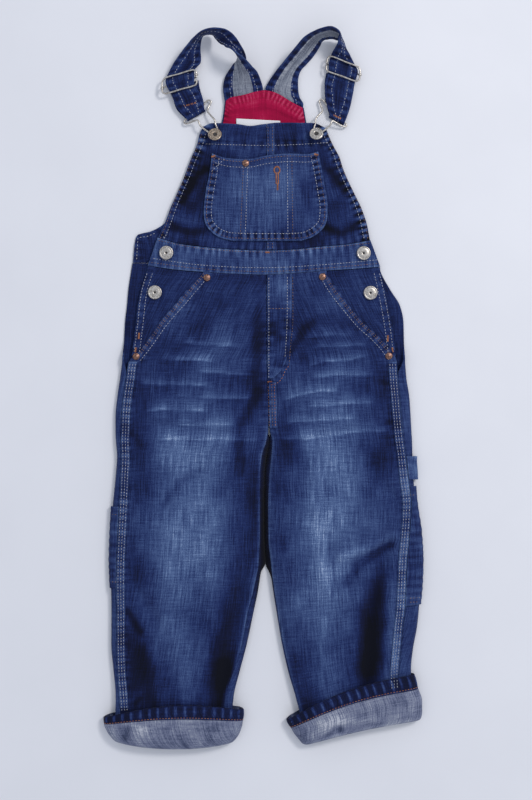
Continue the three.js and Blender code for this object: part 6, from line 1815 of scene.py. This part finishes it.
for line in ([(156, -113.5), (169, -113.5)], [(156, -224), (169, -224)], [(156, -228.5), (169, -228.5)],
             [(-158, -134.5), (-168, -134.5)], [(-158, -207), (-168, -207)]):
    sew("brown", line)
sew("white", [(-135.5, 164.6), (-126, 166), (-117.5, 169.5)])
sew("white", [(-136.5, 165), (-138, 140)])
for down in (3.6, 9.2):
    sew("red", [(x, y - down) for x, y in zip(BACK_TOP["x"], BACK_TOP["y"])])
print({colour: len(stitches) for colour, stitches in threads_in.items()})

# %% [markdown]
# ## Bar-tacks and keyhole
# Short orange bar-tacks lock the pocket corners, the side openings, the fly and the crotch. The
# keyhole on the bib pocket is stitched round in the same orange, close together.

# %% Bar-tacks and keyhole
BAR_TACKS = [(-54.5, 251.5, 0.3, 4), (56.5, 253.3, -0.3, 4), (-135, 57.8, 1.5, 6),
             (133.5, 55.1, 1.5, 6), (6.4, 8.1, 0, 4), (4, 148, 0, 4), (14.6, 218.5, 1.57, 7),
             (-138.5, 43, 1.4, 5), (138.5, 43, 1.7, 5)]
for x, y, turn, length in BAR_TACKS:
    bar_tack("orange", x, y, turn, length)
for angle in np.linspace(0.25, 2 * math.pi - 0.25, 22):
    x, y = 14 + 3.1 * math.sin(angle), 236.5 + 3.6 * math.cos(angle - math.pi)
    middle = dropped(x, y)
    out = Vector((math.sin(angle), math.cos(angle - math.pi), 0))
    threads_in["orange"].append((middle + Vector((0, 0, 0.25)), out, (2.2, 0.85, 0.9)))
for y in np.arange(222, 233, 0.8):
    for x in (13.2, 15.4):
        middle = dropped(x, y)
        threads_in["orange"].append((middle + Vector((0, 0, 0.2)), Vector((1, 0, 0)), (2.0, 0.8, 0.8)))

# %% [markdown]
# ## Thread on straps and cuffs
# The straps twist and stand up, so nothing can be dropped onto them. Their stitches are placed from
# the rows of the strap itself, near both edges and on both sides of the cloth. The cuffs' chain
# stitch runs round the leg, near the hem's lower edge.

# %% Stitches on the straps and round the cuffs
NARROWED = 17                 # mm; a twisted strap's rows run together below this
FIXED_END = 0.79              # of the strap's length, where its end is sewn down
FROM_STRAP_EDGE = 7.6
for points, face, u, v in strap_faces.values():
    for edge in (0, 1):
        for thickness_side in (0, 1):
            for run in np.arange(4, v[-1] - 4, PITCH):
                row = int(np.searchsorted(v, run))
                if u[row, -1] < NARROWED:
                    continue
                from_a = FROM_STRAP_EDGE if edge == 0 else u[row, -1] - FROM_STRAP_EDGE
                column = min(int(np.searchsorted(u[row], from_a)), STRAP_COLUMNS_ACROSS - 2)
                at = points[row, column] - face[row, column] * (STRAP_CLOTH * thickness_side)
                ahead = points[min(row + 2, len(v) - 1), column] - points[row - 1, column]
                threads_in["white"].append((Vector(at), Vector(ahead), STITCH))
for place in np.arange(0.3, 0.71, 0.045):
    for points, *_ in strap_faces.values():
        row = int(FIXED_END * STRAP_STEPS)
        column = int(place * STRAP_COLUMNS_ACROSS)
        ahead = points[row + 2, column] - points[row - 1, column]
        threads_in["orange"].append((Vector(points[row, column]), Vector(ahead), (2.6, 0.8, 0.8)))

for leg in CUFFS.values():
    loops = np.array([cuff_loop(leg, v, inset_by) for v, inset_by in HEM_PATH])
    points = finer_rows(around(loops, 230), 22)
    outwards = ring_normals(points)
    row = points[19] + outwards[19] * 0.25
    holes = evenly(row, PITCH)
    for start, end in zip(holes, holes[1:]):
        middle = (start + end) / 2
        if middle[2] > 1.2:
            threads_in["orange"].append((Vector(middle), Vector(end - start), STITCH))

# %% [markdown]
# ## Join the stitches
# One faceted ball is stretched, turned and copied for every stitch. Thousands of separate objects
# would be slow, so each colour of thread is joined into one mesh.

# %% Join the stitches
RED_THREAD = speckled("red thread", (0.20, 0.002, 0.02), (0.42, 0.01, 0.06), 5, 0.85)
THREAD_LOOKS = {"white": WHITE_THREAD, "brown": BROWN_THREAD, "orange": ORANGE_THREAD, "red": RED_THREAD}
bm = bmesh.new()
bmesh.ops.create_icosphere(bm, subdivisions=1, radius=0.5)
one_stitch = bpy.data.meshes.new("one stitch")
bm.to_mesh(one_stitch)
bm.free()
for colour, stitches in threads_in.items():
    bm = bmesh.new()
    for middle, ahead, size in stitches:
        turn = ahead.normalized().to_track_quat("X", "Z").to_matrix().to_4x4()
        place = Matrix.Scale(MM, 4) @ garment_place(*middle) @ turn @ Matrix.Diagonal((*size, 1))
        one_stitch.transform(place)
        bm.from_mesh(one_stitch)
        one_stitch.transform(place.inverted())
    finish_solid(f"{colour}_stitches", bm, (THREAD_LOOKS[colour],), [])
    print(colour, len(stitches), "stitches")
bpy.data.meshes.remove(one_stitch)
